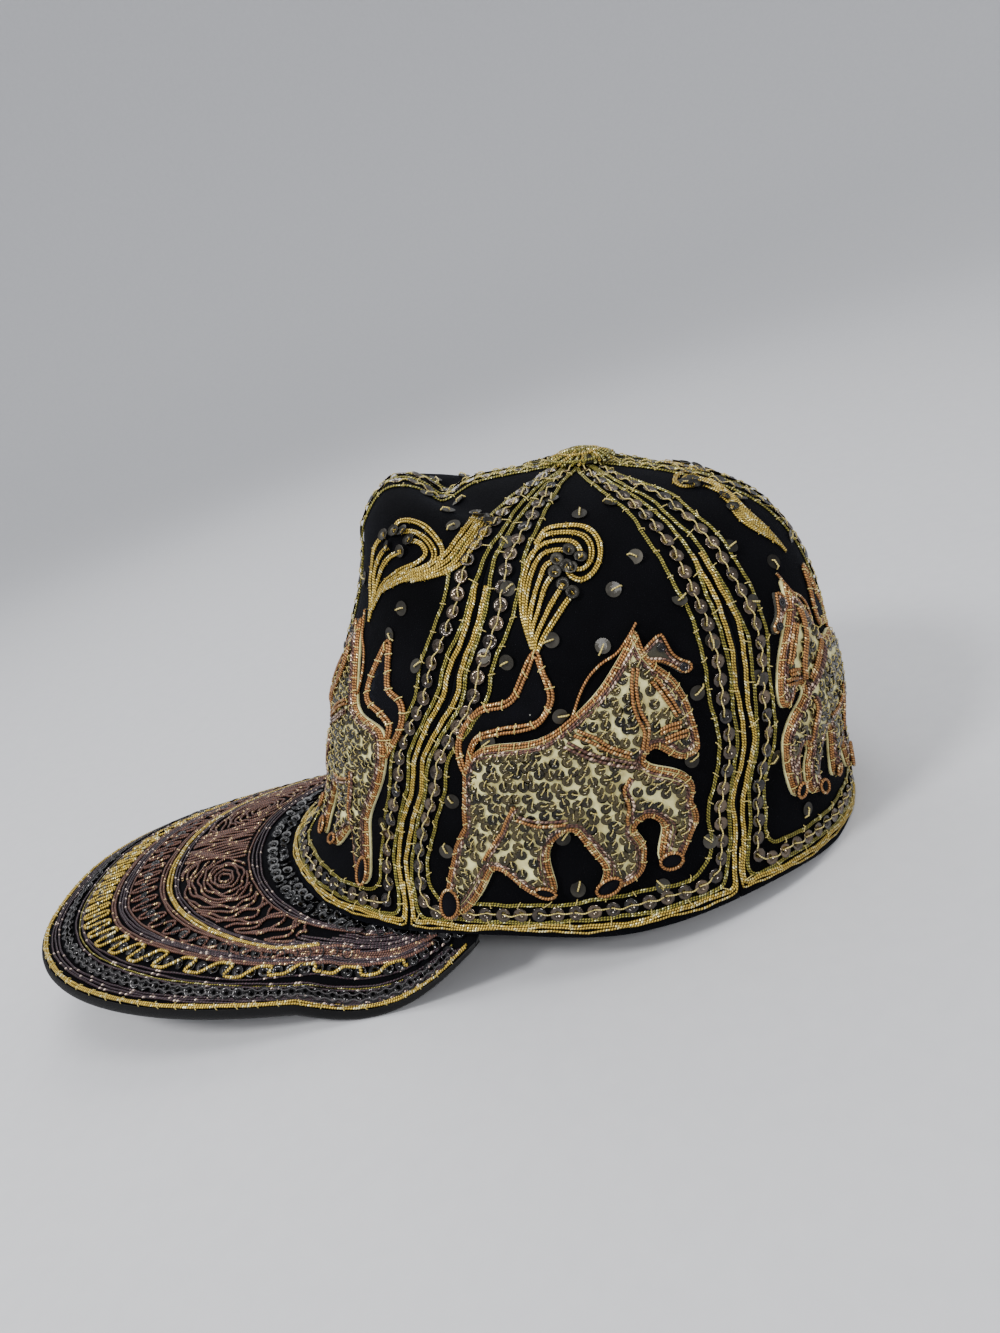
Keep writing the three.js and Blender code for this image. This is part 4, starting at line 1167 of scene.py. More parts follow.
def add_flat_cord(work, kind, name, flat, out, radius, rng, closed=False, stray=0.12,
                  step=CORD_STEP):
    """Lays one cord along a flat line of a panel."""
    flat = spaced(flat, step, closed)
    out = out(flat) if callable(out) else out
    points, facing = lay_flat(name, flat, out)
    if len(points) > 2:
        points = hand_laid(points, facing, stray, rng)
    work.cord(kind, points, radius, rng.uniform(0, 0.5), closed)


def sideways(flat):
    """Unit steps to the left of a flat line."""
    run = run_of(flat)
    return np.stack([-run[:, 1], run[:, 0]], 1)


def add_stitches(work, kind, name, flat, out, gap, half, rng, closed=False, radius=0.2):
    """Ties a cord or a pair of them down with short cross stitches."""
    line = spaced(flat, gap, closed)
    run = run_of(line)
    across = sideways(line)
    for i in range(len(line)):
        skew = run[i] * rng.normal(0, 0.25)
        base = out(line[i:i + 1])[0] if callable(out) else out
        stitch = np.array([line[i] + (across[i] + skew) * half * share
                           for share in (-1, -0.6, 0.6, 1)])
        lift = base + np.array([-0.3, 0.62, 0.62, -0.3])
        work.cord(kind, on_panel(name, stitch, lift), radius, 0.2)


def twin(flat, apart):
    """Two lines side by side along a flat line."""
    across = sideways(flat) * apart / 2
    return flat - across, flat + across


def horse_work(name, rng):
    """Everything sewn on for the horse of one panel."""
    place = HORSE_AT[name]
    scale = (place[1] * place[2]) ** 0.5
    thin = 1.0 if scale > 0.9 else 0.85
    outline = clipped_corners(placed(place, HORSE))
    work = Sewing()

    def over(lift):
        return lambda flat: pad_height(outline, flat) + lift

    add_pad(work, CREAM_PAD, name, outline, 2.2, PAD_EDGE, PAD_HIGH, PAD_ROUND)
    copper = [0.45, 1.3 * thin]
    mauve = [2.15 * thin, 2.95 * thin]
    outer_sequins = 4.1 * thin
    loops = inner_loops(outline, copper + mauve + [outer_sequins])
    for inset in copper:
        for loop in loops[inset]:
            add_flat_cord(work, COPPER, name, loop, over(0.15), 0.44, rng, True)
    for loop in loops[copper[1]]:
        add_stitches(work, THREAD, name, loop, over(0.15), 5.0, 1.4, rng, True, 0.15)
    for inset in mauve:
        for loop in loops[inset]:
            if len(loop) > 22:
                add_flat_cord(work, MAUVE, name, loop, over(0.2), 0.43, rng, True)

    # Sequins follow the outline and fill the middle in loose rows, each held by one stitch
    # from its hole to its edge
    spots = [spaced(loop, SEQUIN_FIELD, closed=True) for loop in loops[outer_sequins]]
    field = staggered(outline, SEQUIN_FIELD)
    field = field + rng.normal(0, 0.3, field.shape)
    spots.append(field[depth_in(outline, field) > outer_sequins + 1.7])
    spots = np.vstack(spots)
    spots = spots + rng.normal(0, 0.2, spots.shape)
    points, facing = lay_flat(name, spots, pad_height(outline, spots) + 0.2)
    angle = rng.normal(STITCH_TURN, 0.6, len(spots))
    toward = np.stack([place[0] * np.cos(angle), np.sin(angle)], 1)
    edge = on_panel(name, spots + toward, pad_height(outline, spots) + 0.2)
    work.sequins(HORSE_CUP, points, facing, unit(edge - points), 1.62, rng, lean=0.1)
    for spot, way in zip(spots, toward):
        high = pad_height(outline, spot[None])[0]
        stitch = spot + way * np.array([[0.0], [0.2], [1.5], [2.0]])
        lift = high + np.array([0.1, 0.5, 0.9, 0.2])
        work.cord(THREAD, on_panel(name, stitch, lift), 0.14, 0.3)

    # Harness and legs over the padding, in pairs of cords, and the eye
    for kind, route in HARNESS:
        for line in twin(drawn_route(place, route, 24), 1.15):
            add_flat_cord(work, kind, name, line, over(0.75), 0.54, rng)
    for route in LEG_LINES:
        first, second = twin(drawn_route(place, route, 24), 1.1)
        add_flat_cord(work, COPPER, name, first, over(0.6), 0.52, rng)
        add_flat_cord(work, MAUVE, name, second, over(0.6), 0.48, rng)
    eye = placed(place, [(28.3, 63.8)])
    points, facing = lay_flat(name, eye, pad_height(outline, eye) + 0.5)
    work.sequins(DARK_CUP, points, facing, (0, 0, 1), 1.9, rng, lean=0.05)

    # Black hooves, ringed with copper cord
    for across, up, long, wide, slope in HOOVES:
        around = np.linspace(0, 2 * np.pi, 25)[:-1]
        oval = np.stack([long * np.cos(around), wide * np.sin(around)], 1)
        slope = np.radians(slope)
        turn = np.array([[np.cos(slope), np.sin(slope)], [-np.sin(slope), np.cos(slope)]])
        hoof = placed(place, oval @ turn + [across, up])
        add_pad(work, BLACK_PAD, name, hoof, 1.4, 2.6, 3.3, 1.2, low=2.2)
        add_flat_cord(work, COPPER, name, hoof, 3.0, 0.5, rng, True)

    # Mane, ear ornament and the tail, which are cords laid straight on the velvet
    add_flat_cord(work, COPPER, name, drawn_route(place, MANE, 40), 0.7, 0.42, rng)
    knot = clipped_corners(placed(place, EAR_KNOT))
    add_pad(work, CORD_PAD, name, knot, 1.6, 0.7, 1.6, 1.0)
    knot_loops = inner_loops(knot, [0.4, 1.3 * thin], 0.5)
    for inset, kind in ((0.4, COPPER), (1.3 * thin, MAUVE)):
        for loop in knot_loops[inset]:
            add_flat_cord(work, kind, name, loop, 1.3, 0.46, rng, True, step=1.2)
    gem = placed(place, [(22.4, 80.2), (29.4, 73.6)])
    points, facing = lay_flat(name, gem, 1.9)
    work.sequins(DARK_CUP, points, facing, (0, 0, 1), 1.3, rng, lean=0.1)
    tail = drawn_route(place, TAIL, 90, closed=True)[:-1]
    add_pad(work, BLACK_PAD, name, clipped_corners(placed(place, TAIL)), 2.4, 0.35, 0.6, 2.0)
    for line in twin(tail, 1.2):
        add_flat_cord(work, COPPER, name, line, 0.75, 0.54, rng, True)
    add_stitches(work, THREAD, name, tail, 0.75, 6.0, 1.4, rng, True)
    return work


for number, name in enumerate(PANEL_SEAMS):
    work = horse_work(name, np.random.default_rng(100 + number))
    sew_pair(f'sequined_horse_{name}', work, 'quilting', f'horse_{name}', padded=0.8,
             dish=0.18, hole=0.2)

# Plumes: a spray of bright gold cords over each horse's tail, laid in pairs that fan out
# of one point and curl over at the top, with a few grey sequins at their ends.
SIDE_PLUME = [
    [(-15.0, 84.2), (-12.9, 88.4), (-10.2, 92.5), (-7.5, 96.7), (-4.8, 100.2)],
    [(-15.5, 84.9), (-15.6, 88.4), (-13.0, 93.9), (-10.2, 98.8), (-7.2, 103.0)],
    [(-16.1, 85.6), (-17.2, 90.0), (-15.0, 96.7), (-12.4, 103.0), (-9.0, 107.1)],
    [(-16.6, 85.6), (-18.4, 91.0), (-17.4, 98.0), (-14.0, 105.6), (-11.4, 109.9), (-8.0, 111.0)],
    [(-16.6, 85.6), (-19.6, 93.0), (-18.8, 101.5), (-15.4, 109.9), (-12.0, 113.8),
     (-8.0, 114.6), (-4.3, 113.6)],
    [(-16.6, 85.6), (-20.6, 95.0), (-19.8, 104.0), (-16.4, 112.7), (-12.0, 117.0),
     (-6.6, 117.8), (-2.7, 116.4), (-1.2, 113.4), (-1.4, 110.6)],
    [(-15.6, 112.8), (-12.0, 119.9), (-5.6, 120.8), (0.0, 118.6), (2.0, 114.4),
     (1.4, 109.6), (-1.1, 107.0), (-4.4, 107.6)],
    [(-14.6, 117.4), (-10.4, 122.9), (-4.3, 123.4), (1.2, 121.4), (4.4, 116.0),
     (4.2, 109.9), (1.4, 105.3), (-2.1, 103.7), (-4.8, 105.4), (-5.6, 108.5)],
]
FRONT_PLUME = [
    [(-3.8, 97.2), (-5.9, 103.7), (-8.6, 110.1), (-7.5, 117.3), (-5.4, 122.1), (-3.2, 125.0)],
    [(-3.4, 98.6), (-4.3, 106.9), (-5.6, 112.6), (-2.1, 119.2), (0.6, 122.8)],
    [(-3.6, 99.8), (-3.0, 108.3), (-1.2, 114.7), (3.2, 120.6), (7.0, 124.0)],
    [(-2.7, 101.9), (0.2, 110.5), (8.0, 117.8), (13.9, 122.6), (15.6, 126.6), (11.8, 128.8),
     (7.8, 128.0)],
    [(-2.0, 104.1), (3.0, 112.0), (11.6, 118.2), (18.4, 123.4), (18.4, 127.4), (13.9, 130.4),
     (8.0, 131.0), (3.6, 129.2)],
    [(-0.6, 107.7), (9.0, 115.3), (17.7, 120.3), (21.2, 125.0), (20.0, 129.4),
     (15.5, 132.4), (8.6, 134.0), (3.0, 133.0), (-0.6, 130.4), (0.4, 127.8)],
    [(9.0, 117.8), (16.0, 121.6), (20.6, 127.4), (21.2, 132.0), (17.8, 139.6), (9.6, 151.4)],
    [(10.0, 116.6), (18.0, 120.8), (22.6, 126.4), (23.2, 131.0), (20.6, 138.6), (12.6, 150.0)],
    [(12.0, 116.6), (20.0, 120.8), (24.8, 126.0), (25.4, 131.0), (23.0, 137.8), (16.0, 148.0)],
    [(14.0, 117.0), (22.0, 121.6), (26.8, 126.4), (27.4, 131.0), (25.4, 137.2), (19.6, 146.0)],
]
BACK_PLUME = [
    [(3.2, 90.9), (2.7, 95.0), (2.1, 101.1), (2.0, 107.9), (5.2, 113.3), (10.2, 120.1),
     (14.0, 126.2), (12.3, 130.9), (5.6, 132.4), (-1.1, 130.3), (-3.2, 126.9), (0.6, 125.2)],
    [(3.0, 91.6), (1.8, 96.3), (0.9, 102.6), (0.9, 108.4), (4.2, 114.6), (8.4, 121.4),
     (10.6, 126.4), (8.2, 129.2), (3.2, 129.4), (0.6, 127.6)],
    [(2.8, 92.3), (0.9, 97.0), (-0.4, 102.4), (-0.4, 107.6), (2.4, 113.6), (6.0, 119.8),
     (7.6, 124.6), (5.2, 127.4)],
    [(2.7, 92.9), (0.0, 98.0), (-1.7, 102.8), (-1.8, 107.2), (0.8, 112.6), (3.8, 118.0),
     (4.2, 122.6)],
    [(2.6, 93.4), (-0.9, 98.6), (-3.0, 103.2), (-3.2, 107.4), (-0.8, 111.8), (1.4, 115.6)],
    [(2.5, 93.8), (-1.8, 99.2), (-4.3, 103.6), (-4.4, 107.4), (-2.2, 110.8)],
]
PLUMES = {'front': FRONT_PLUME, 'side': SIDE_PLUME, 'back': BACK_PLUME}
PLUME_STRAND = 0.4


def plume_work(name, rng):
    """Everything sewn on for the plume of one panel."""
    work = Sewing()
    ends = []
    share = np.linspace(0, 1, 60)
    spread = 2 * PLUME_STRAND * np.interp(share, [0, 0.25, 1], [0.3, 1, 1])
    for order, strand in enumerate(PLUMES[name]):
        route = smooth_line(strand)(share)
        ends.append(route[-1])
        for line in twin(route, spread[:, None]):
            lift = 0.5 + 0.05 * (order % 3)
            add_flat_cord(work, GOLD, name, line, lift, PLUME_STRAND, rng, stray=0.08,
                          step=1.2)
        add_stitches(work, GOLD, name, route[8:], 0.5, 8.0, 0.95, rng, radius=0.13)
    points, facing = lay_flat(name, ends, 0.9)
    work.sequins(FLAT_SEQUIN, points, facing, (0, 0, 1), 2.0, rng)
    return work


for number, name in enumerate(PANEL_SEAMS):
    work = plume_work(name, np.random.default_rng(200 + number))
    sew_pair(f'gold_plume_{name}', work, 'gold_cord', f'plume_{name}')

# Scattered sequins: flat grey sequins, 4.5 mm across, strewn over the bare velvet, each
# held by one stitch of yellow thread through its hole.
SCATTERED = {
    'side': [(-25.7, 82.8), (-10.2, 87.7), (4.3, 84.2), (34.8, 65.4), (-28.9, 60.5),
             (-5.9, 66.8), (35.4, 46.6), (41.2, 20.2), (28.4, 11.1), (1.6, 30.6), (3.8, 14.6),
             (-39.6, 43.1), (-33.8, 26.4), (6.5, 99.0), (-25.0, 103.0), (-1.0, 128.0),
             (14.0, 108.0), (-24.5, 118.0), (26.0, 92.0), (-34.0, 84.0), (9.5, 131.0),
             (-8.0, 138.0), (38.0, 78.0)],
    'front': [(12.0, 108.0), (4.0, 146.0), (-16.0, 108.0), (10.0, 98.0), (-14.0, 146.0),
              (26.0, 62.0), (-27.0, 48.0), (25.0, 92.0), (-22.0, 88.0), (-6.0, 156.0),
              (27.0, 36.0), (-2.0, 38.0), (14.0, 140.0), (-30.0, 112.0)],
    'back': [(-26.2, 37.3), (-13.4, 15.6), (-6.0, 90.0), (14.0, 92.0), (22.0, 46.0),
             (-22.0, 84.0), (8.0, 112.0), (-16.0, 100.0), (0.0, 128.0), (24.0, 78.0),
             (-28.0, 62.0), (4.0, 34.0)],
}
for number, (name, spots) in enumerate(SCATTERED.items()):
    rng = np.random.default_rng(300 + number)
    strewn = Sewing()
    spots = np.array(spots) + rng.normal(0, 0.4, (len(spots), 2))
    points, facing = lay_flat(name, spots, 0.55)
    angle = rng.uniform(0, 2 * np.pi, len(spots))
    toward = np.stack([np.cos(angle), np.sin(angle)], 1)
    run = unit(on_panel(name, spots + toward, 0.55) - points)
    strewn.sequins(FLAT_SEQUIN, points, facing, run, 2.25, rng, lean=0.16)
    for spot, way in zip(spots, toward):
        stitch = spot + way * np.array([[-0.6], [-0.2], [1.8], [2.5]])
        lift = np.array([0.3, 1.1, 1.3, 0.2])
        strewn.cord(THREAD, on_panel(name, stitch, lift), 0.24, 0.2)
    sew_pair(f'scattered_sequins_{name}', strewn, 'couching', dish=0.04, hole=0.1, sides=20,
             rounded=False)

# Peak: a stiff curved board covered in black velvet, sewn in under the front of the rim.
# Rows of couched cords and sequins follow its edge, and two scrolled fields of bronze cord
# fill the horseshoe in the middle.
PEAK_HALF_WIDTH = 76.5
PEAK_POWER = 2.4
PEAK_ARCH = 3.6
PEAK_TUCK = 2.6
PEAK_TOP_THICK = 1.8
PEAK_SIDE_SHARE = 0.3
PEAK_FLARE = 1.5
PEAK_CLEAR = 0.4
PEAK_ROLL = 1.3
PEAK_STEPS = 160
LINING_TOP = 2.1


def peak_edge(s):
    """Edge of the peak, from one corner (-1) round the tip (0) to the other (1)."""
    share = np.abs(s)
    angle = np.clip(share / (1 - PEAK_SIDE_SHARE), 0, 1) * np.pi / 2
    bend = 2 / PEAK_POWER
    tip = np.stack([
        PEAK_HALF_WIDTH * np.sin(angle) ** bend,
        PEAK_WIDEST_Y - PEAK_REACH * np.maximum(np.cos(angle), 0) ** bend,
        PEAK_TIP_Z + (PEAK_SIDE_Z - PEAK_TIP_Z) * np.sin(angle) ** 2,
    ], -1)
    back = np.clip((share - (1 - PEAK_SIDE_SHARE)) / PEAK_SIDE_SHARE, 0, 1)
    corner = SIDE_LINE[0][0] * np.sin(np.radians(PEAK_CORNER_DEG)) + PEAK_FLARE
    side = np.stack([
        PEAK_HALF_WIDTH + (corner - PEAK_HALF_WIDTH) * back * back,
        peak_side_y(back), peak_side_z(back),
    ], -1)
    p = np.where((share > 1 - PEAK_SIDE_SHARE)[..., None], side, tip)
    p[..., 0] *= np.sign(s)
    return p


def peak_root(s):
    """Line where the peak is tucked in under the rim."""
    phi = np.radians(PEAK_CORNER_DEG) * np.abs(s)
    p = bare_crown(phi, np.zeros_like(phi))
    inward = np.stack([p[..., 0] / SIDE_LINE[0][0] ** 2, p[..., 1] / FRONT_LINE[0][1] ** 2,
                       0 * phi], -1)
    p = p - unit(inward) * PEAK_TUCK
    p[..., 2] = rim_wave(phi) - PEAK_CLEAR
    p[..., 0] *= np.sign(s)
    return p


def peak_point(s, out, depth=0.0):
    """Point of the peak, out from the crown (0) to the edge (1), depth below its top."""
    s, out, depth = np.broadcast_arrays(*(np.asarray(v, float) for v in (s, out, depth)))
    p = peak_root(s)
    p = p + (peak_edge(s) - p) * out[..., None]
    back = np.maximum(0, (np.abs(s) - (1 - PEAK_SIDE_SHARE)) / PEAK_SIDE_SHARE)
    p[..., 2] += PEAK_ARCH * np.sin(np.pi * out) * (1 - s * s)
    p[..., 2] -= depth * (1 - PEAK_THIN * back * out)
    return p


def peak_facing(s, out):
    along = peak_point(s + 0.004, out) - peak_point(s - 0.004, out)
    outward_run = peak_point(s, out) - peak_point(s, np.asarray(out) - 0.01)
    return unit(np.cross(outward_run, along))


def peak_line(s, out, lift, step):
    """Evenly spaced points of a line on the peak's top and the way they face."""
    facing = peak_facing(s, out)
    rows = spaced(np.column_stack([peak_point(s, out) + facing * lift, facing]), step)
    return rows[:, :3], unit(rows[:, 3:])


board_s = np.linspace(-1, 1, PEAK_STEPS + 1)[:, None]
board_out = np.linspace(0, 1, 29)[None] ** 0.8
points, faces = slab(peak_point(board_s, board_out),
                     peak_point(board_s, board_out, PEAK_TOP_THICK))
board = new_piece('velvet_peak', points, faces, [black_velvet])
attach(board, 'root')
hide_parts('peak_top')

# Share of the way from the crown to the edge that a row keeps at the tip, along the sides
# and near the corners, as s goes round
ROW_PLACES = (0.14, 0.58, 0.72)


def peak_width(s):
    return np.linalg.norm(peak_edge(s) - peak_root(s), axis=-1)


def row_out(s, shares):
    """Place of a row; past the last of ROW_PLACES it keeps its distance from the edge."""
    s = np.abs(np.asarray(s, float))
    last = ROW_PLACES[-1]
    share = eased(list(zip(ROW_PLACES, shares)), 1, np.clip(s, ROW_PLACES[0], last))
    narrower = peak_width(np.full_like(s, last)) / np.maximum(peak_width(s), 1.0)
    return np.where(s > last, 1 - (1 - share) * narrower, share)


peak_work = Sewing()
rng = np.random.default_rng(500)


def peak_row(kind, shares, radius, end, start=None):
    """A cord along a row, from one end round to the other."""
    s = np.linspace(-end if start is None else start, end, 500)
    out = row_out(s, shares)
    s, out = s[out > 0.1], out[out > 0.1]
    if len(s) > 8:
        points, facing = peak_line(s, out, radius + 0.1, CORD_STEP)
        points = hand_laid(points, facing, 0.15, rng)
        peak_work.cord(kind, points, radius, rng.uniform(0, 0.5))


def peak_sequins(kind, shares, space, size, end, lean=0.12):
    """Sequins along a row, space mm apart."""
    s = np.linspace(-end, end, 500)
    out = np.maximum(row_out(s, shares), 0.055)
    points, facing = peak_line(s, out, 0.6, space)
    peak_work.sequins(kind, points, facing, run_of(points), size, rng, lean)


def peak_wave(kind, low, high, pitch_tip, pitch_side, radius, end, square, slant, stray=0.1):
    """A cord that wanders between two rows, in narrow fingers or in wide scallops."""
    s = np.linspace(-end, end, 2400)
    middle = row_out(s, [(a + b) / 2 for a, b in zip(low, high)])
    at = length_along(peak_point(s, middle))
    pitch = pitch_tip + (pitch_side - pitch_tip) * np.clip((np.abs(s) - 0.12) / 0.42, 0, 1)
    turns = np.r_[0, np.cumsum(np.diff(at) / pitch[1:])] * 2 * np.pi
    sway = np.tanh(square * np.sin(turns)) / np.tanh(square)
    reach = (row_out(s, high) - row_out(s, low)) / 2
    slide = slant * sway * pitch / 400 * np.sign(s)
    points, facing = peak_line(s + slide, middle + reach * sway, radius + 0.15, 0.8)
    peak_work.cord(kind, hand_laid(points, facing, stray, rng), radius, 0.1)


# From the edge inward: what is laid, its places on ROW_PLACES, the radius of a cord or the
# spacing and radius of sequins, and how far round it goes
peak_row(PURPLE, (0.964, 0.945, 0.945), 0.42, 0.975)
peak_row(PURPLE, (0.952, 0.93, 0.93), 0.42, 0.97)
peak_row(PURPLE, (0.938, 0.912, 0.912), 0.45, 0.965)
peak_sequins(DARK_CUP, (0.9, 0.866, 0.87), 4.4, 2.2, 0.95)
s = np.linspace(-0.95, 0.95, 500)
points, facing = peak_line(s, row_out(s, (0.9, 0.866, 0.87)), 1.35, 0.8)
sway = 0.9 * np.abs(np.sin(length_along(points) * np.pi / 4.4)) - 1.5
peak_work.cord(GREY_THREAD, beside_line(points, facing, sway), 0.2, 0.2)
peak_work.cord(GREY_THREAD, beside_line(points, facing, -sway), 0.18, 0.4)
peak_row(PURPLE, (0.868, 0.822, 0.82), 0.45, 0.95)
peak_row(OLIVE, (0.855, 0.806, 0.80), 0.3, 0.95)
peak_row(PURPLE, (0.843, 0.79, 0.78), 0.42, 0.94)
peak_wave(GOLD, (0.735, 0.635, 0.57), (0.832, 0.735, 0.66), 5.4, 15.0, 0.62, 0.86, 3.4, 0.0)
peak_sequins(DARK_CUP, (0.785, 0.69, 0.625), 4.6, 2.0, 0.93)
peak_row(PURPLE, (0.838, 0.755, 0.69), 0.4, 0.93)
peak_row(BRONZE, (0.722, 0.622, 0.56), 0.5, 0.90)
peak_row(BRONZE, (0.711, 0.606, 0.545), 0.5, 0.90)
peak_row(PURPLE, (0.692, 0.592, 0.525), 0.5, 0.89)
peak_row(PURPLE, (0.68, 0.58, 0.508), 0.5, 0.88)
peak_row(PURPLE, (0.668, 0.568, 0.49), 0.45, 0.88)
peak_row(BRONZE, (0.655, 0.558, 0.478), 0.45, 0.87)
peak_wave(BRONZE, (0.545, 0.505, 0.40), (0.645, 0.55, 0.465), 5.6, 12.0, 0.5, 0.74, 1.8, 0.0)
peak_sequins(DARK_CUP, (0.595, 0.53, 0.435), 4.6, 1.8, 0.72)
peak_row(BRONZE, (0.53, 0.495, 0.37), 0.5, 0.72)
peak_row(BRONZE, (0.518, 0.483, 0.35), 0.5, 0.70)
peak_row(GOLD, (0.50, 0.468, 0.31), 0.52, 0.66)
peak_row(GOLD, (0.489, 0.456, 0.292), 0.5, 0.655)
peak_row(PURPLE, (0.474, 0.442, 0.27), 0.45, 0.65)
peak_row(PURPLE, (0.462, 0.43, 0.25), 0.42, 0.64)
# Past the ends of the horseshoe, up to the crown
for share in np.arange(0.23, 0.5, 0.028):
    kind = PURPLE if share < 0.42 else BRONZE
    start = 0.60 + (0.30 * (0.5 - share) if share < 0.3 else 0)
    for hand in (-1, 1):
        peak_row(kind, [share] * 3, 0.45, hand * 0.93, hand * start)
# Beside the crown
for share, kind in ((0.19, BRONZE), (0.176, PURPLE), (0.162, PURPLE), (0.148, PURPLE)):
    peak_row(kind, (share, share + 0.02, share), 0.42, 0.9)
peak_sequins(CLEAR_CUP, (0.1, 0.12, 0.15), 4.0, 2.1, 0.96, 0.2)
peak_sequins(CLEAR_CUP, (0.058, 0.066, 0.085), 4.2, 1.9, 0.95, 0.25)

# Inside the horseshoe a fan of bronze cords spreads from the tip side, with a scroll of
# nested arcs on either hand
SCROLL_CENTRE = (0.20, 0.285)
SCROLL_SPACE = 0.0175
FIELD_LOW = 0.203
FIELD_HIGH = 0.448
FIELD_ROW = (0.45, 0.415, 0.235)
FIELD_END = 0.6
FAN_WIDTH = 0.115
FAN_RAYS = 7
around = np.linspace(-1, 1, 150) * np.pi
for hand in (1, -1):
    for ring, reach in enumerate(np.arange(0.02, 0.46, SCROLL_SPACE)):
        ripple = 1 + 0.05 * np.sin(6 * around + 1.7 * ring) + 0.03 * np.sin(11 * around - ring)
        s = hand * (SCROLL_CENTRE[0] + 1.1 * reach * np.cos(around) * ripple)
        out = SCROLL_CENTRE[1] + 0.95 * reach * np.sin(around) * ripple
        fan_side = FAN_WIDTH * (1 - 0.5 * (out - FIELD_LOW) / (FIELD_HIGH - FIELD_LOW))
        keep = (out > FIELD_LOW) & (out < row_out(s, FIELD_ROW))
        keep &= (hand * s > fan_side) & (hand * s < FIELD_END)
        places = np.flatnonzero(keep)
        for run in np.split(places, np.flatnonzero(np.diff(places) > 1) + 1):
            if len(run) > 4:
                points, facing = peak_line(s[run], out[run], 0.6, CORD_STEP)
                points = hand_laid(points, facing, 0.45, rng)
                peak_work.cord(BRONZE, points, 0.5, rng.uniform(0, 0.6))
    for ray in range(FAN_RAYS):
        out = np.linspace(FIELD_LOW, FIELD_HIGH, 40)
        risen = (out - FIELD_LOW) / (FIELD_HIGH - FIELD_LOW)
        s = hand * ((0.008 + 0.0165 * ray) * (1 - 0.5 * risen) + 0.006 * np.sin(9 * risen + ray))
        points, facing = peak_line(s, out, 0.65, CORD_STEP)
        peak_work.cord(BRONZE, points, 0.48, rng.uniform(0, 0.6))
sew('peak_embroidery', peak_work, 'peak_work')

# Underside: plain black cloth over the board, rolled up round its edge and stitched down
# behind the gold cords.
peak_lining = plain_cloth('peak_lining', dyed(9, 9, 10), dyed(14, 14, 15))
under_s = board_s[:, 0]
# Round the board's section: share of the way out, mm beyond that, and depth
section = [(out, 0.0, PEAK_DEPTH) for out in np.linspace(0, 1, 20)[:-1]]
section += [
    (1, -0.1, PEAK_DEPTH), (1, 0.45, 3.95), (1, 0.95, 3.4), (1, PEAK_ROLL, 2.5),
    (1, PEAK_ROLL, 1.5), (1, 1.1, 0.75), (1, 0.75, 0.25), (1, 0.4, 0.15), (1, 0.22, 0.5),
    (1, 0.22, 1.4), (1, 0.15, LINING_TOP),
]
section += [(out, 0.0, LINING_TOP) for out in np.linspace(1, 0, 20)]
edge_run = unit(np.gradient(peak_edge(under_s), axis=0) * [1, 1, 0])
edge_away = np.stack([edge_run[:, 1], -edge_run[:, 0], 0 * under_s], -1)
points = np.stack([peak_point(under_s, out, depth) + edge_away * beyond
                   for out, beyond, depth in section], 1)
rows, cols = points.shape[:2]
i, j = np.meshgrid(np.arange(rows - 1), np.arange(cols), indexing='ij')
a = (i * cols + j).ravel()
b = (i * cols + (j + 1) % cols).ravel()
faces = np.stack([a, b, b + cols, a + cols], 1).tolist()
for row, way in ((0, 1), (rows - 1, -1)):
    for k in range(cols // 2 - 1):
        cap = [row * cols + v for v in (k, k + 1, cols - 2 - k, cols - 1 - k)]
        faces.append(cap[::way])
points = points.reshape(-1, 3)
corner = points[faces[0]]
if np.cross(corner[1] - corner[0], corner[3] - corner[0])[2] > 0:
    faces = [face[::-1] for face in faces]
under = new_piece('peak_cloth', points, faces, [peak_lining])
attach(under, 'root')
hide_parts('peak_underside')

# Edge of the peak: two fine gold cords lie side by side along the very edge of its top,
# and are tied down together every few millimetres with yellow thread.
edge_cords = Sewing()
rng = np.random.default_rng(600)
EDGE_STRAND = 0.44
EDGE_END = 0.985
s = np.linspace(-EDGE_END, EDGE_END, 600)
for inset in (0.6, 1.45):
    out = 1 - inset / peak_width(s)
    points, facing = peak_line(s, out, EDGE_STRAND + 0.05, CORD_STEP)
    edge_cords.cord(GOLD, hand_laid(points, facing, 0.12, rng), EDGE_STRAND, 0.15)
points, facing = peak_line(s, 1 - 1.0 / peak_width(s), 0.0, 7.0)
runs = run_of(points)
away = unit(np.cross(runs, facing))
for point, way, face, run in zip(points[1:-1], away[1:-1], facing[1:-1], runs[1:-1]):
    lean = run * rng.normal(0, 0.35)
    stitch = [point + (way + lean) * side + face * lift
              for side, lift in ((-1.1, 0.1), (-0.8, 0.95), (0.8, 0.95), (1.1, 0.1))]
    edge_cords.cord(THREAD, np.array(stitch), 0.15, 0.3)
sew('peak_edge_cords', edge_cords, 'gold_cord', ['peak_edge_cord'])

# Floor: plain pale paper under the cap, swept up into a round wall well away from it, so
# that light comes back from all sides.
FLOOR_SIDES = 96
FLOOR_RINGS = 40
sweep = smooth_line([(0.02, 0, 0), (1.3, 0, 0), (1.8, 0, 0.05), (2.2, 0, 0.22), (2.5, 0, 0.6),
                     (2.62, 0, 1.15)])(np.linspace(0, 1, FLOOR_RINGS))
around = np.linspace(0, 2 * np.pi, FLOOR_SIDES, endpoint=False)[:, None]
floor_points = np.stack([sweep[None, :, 0] * np.cos(around), sweep[None, :, 0] * np.sin(around),
                         sweep[None, :, 2] + 0 * around], -1).reshape(-1, 3)
floor_faces = []
for i in range(FLOOR_SIDES):
    a, b = i * FLOOR_RINGS, (i + 1) % FLOOR_SIDES * FLOOR_RINGS
    floor_faces += [[a + j, a + j + 1, b + j + 1, b + j] for j in range(FLOOR_RINGS - 1)]
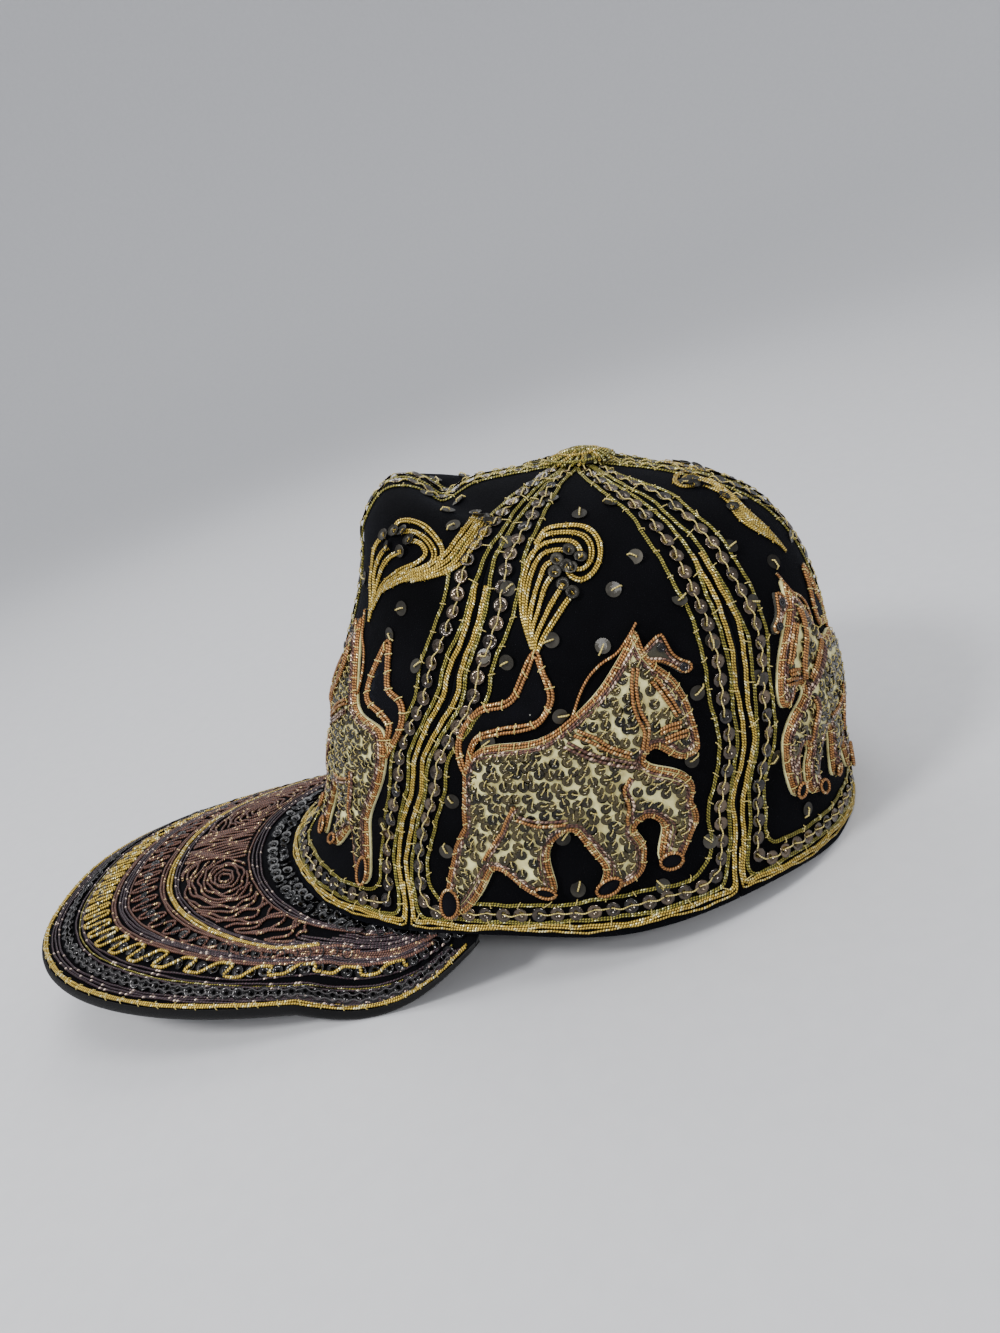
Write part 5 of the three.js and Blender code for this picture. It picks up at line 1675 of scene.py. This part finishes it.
floor_faces.append([i * FLOOR_RINGS for i in range(FLOOR_SIDES)])
floor_mesh = bpy.data.meshes.new('studio_floor')
floor_mesh.from_pydata(floor_points.tolist(), [], floor_faces)
floor_mesh.polygons.foreach_set('use_smooth', np.ones(len(floor_faces), bool))
studio_floor = bpy.data.objects.new('studio_floor', floor_mesh)
bpy.context.scene.collection.objects.link(studio_floor)
paper, tree = new_finish('pale_paper')
colour = blend_colours(tree, noise(tree, 140.0, 3.0), dyed(196, 196, 199), dyed(203, 203, 205))
floor_mesh.materials.append(surfaced(paper, {'Base Color': colour, 'Roughness': 0.9}))

# Camera, where it stood for the photograph, and soft lamps: a window before the peak, a
# wide lamp overhead, one by the camera and a weak one behind.
EYE = np.array([353.79, 24.65, 187.0])
TURN, LIFT, ROLL = np.radians([97.15, 20.26, -9.49])
SENSOR_MM = 36.0
FOCAL_PIXELS = 1100
PHOTO_PIXELS = 1333
LAMP_AIM = (0, 0, 0.06)


def set_up(name, data, axes, at):
    """A camera or lamp at its place, with the ways that its x, y and z point."""
    thing = bpy.data.objects.new(name, data)
    bpy.context.scene.collection.objects.link(thing)
    placing = Matrix(axes.tolist()).transposed().to_4x4()
    placing.translation = at
    thing.matrix_world = placing
    return thing


backward = np.array([np.sin(TURN) * np.cos(LIFT), -np.cos(TURN) * np.cos(LIFT), np.sin(LIFT)])
level = np.array([np.cos(TURN), np.sin(TURN), 0.0])
upward = np.cross(backward, level)
rightward = level * np.cos(ROLL) + upward * np.sin(ROLL)
upward = -level * np.sin(ROLL) + upward * np.cos(ROLL)
camera_data = bpy.data.cameras.new('camera')
camera_data.sensor_width = SENSOR_MM
camera_data.lens = FOCAL_PIXELS * SENSOR_MM / PHOTO_PIXELS
camera_data.clip_start = 0.02
camera_data.clip_end = 30.0
bpy.context.scene.camera = set_up('camera', camera_data,
                                  pitched(np.array([rightward, upward, backward])),
                                  laid_down(EYE).tolist())

for name, at, size, power in (
    ('window_lamp', (0.8, -0.7, 1.15), 0.34, 17.0),
    ('ceiling_lamp', (0.15, 0.25, 1.7), 1.0, 9.0),
    ('near_lamp', (1.25, 0.6, 0.8), 0.3, 9.0),
    ('far_lamp', (-0.9, -0.3, 0.9), 0.7, 4.0),
):
    lamp_data = bpy.data.lights.new(name, 'AREA')
    lamp_data.shape = 'DISK'
    lamp_data.size = size
    lamp_data.energy = power
    away = unit(np.array(at) - np.array(LAMP_AIM))
    right = unit(np.cross([0, 0, 1.0], away))
    set_up(name, lamp_data, np.array([right, np.cross(away, right), away]), at)

room = bpy.data.worlds.new('room')
room.use_nodes = True
sky = room.node_tree.nodes['Background']
sky.inputs['Color'].default_value = dyed(224, 227, 232)
sky.inputs['Strength'].default_value = 1.0
bpy.context.scene.world = room
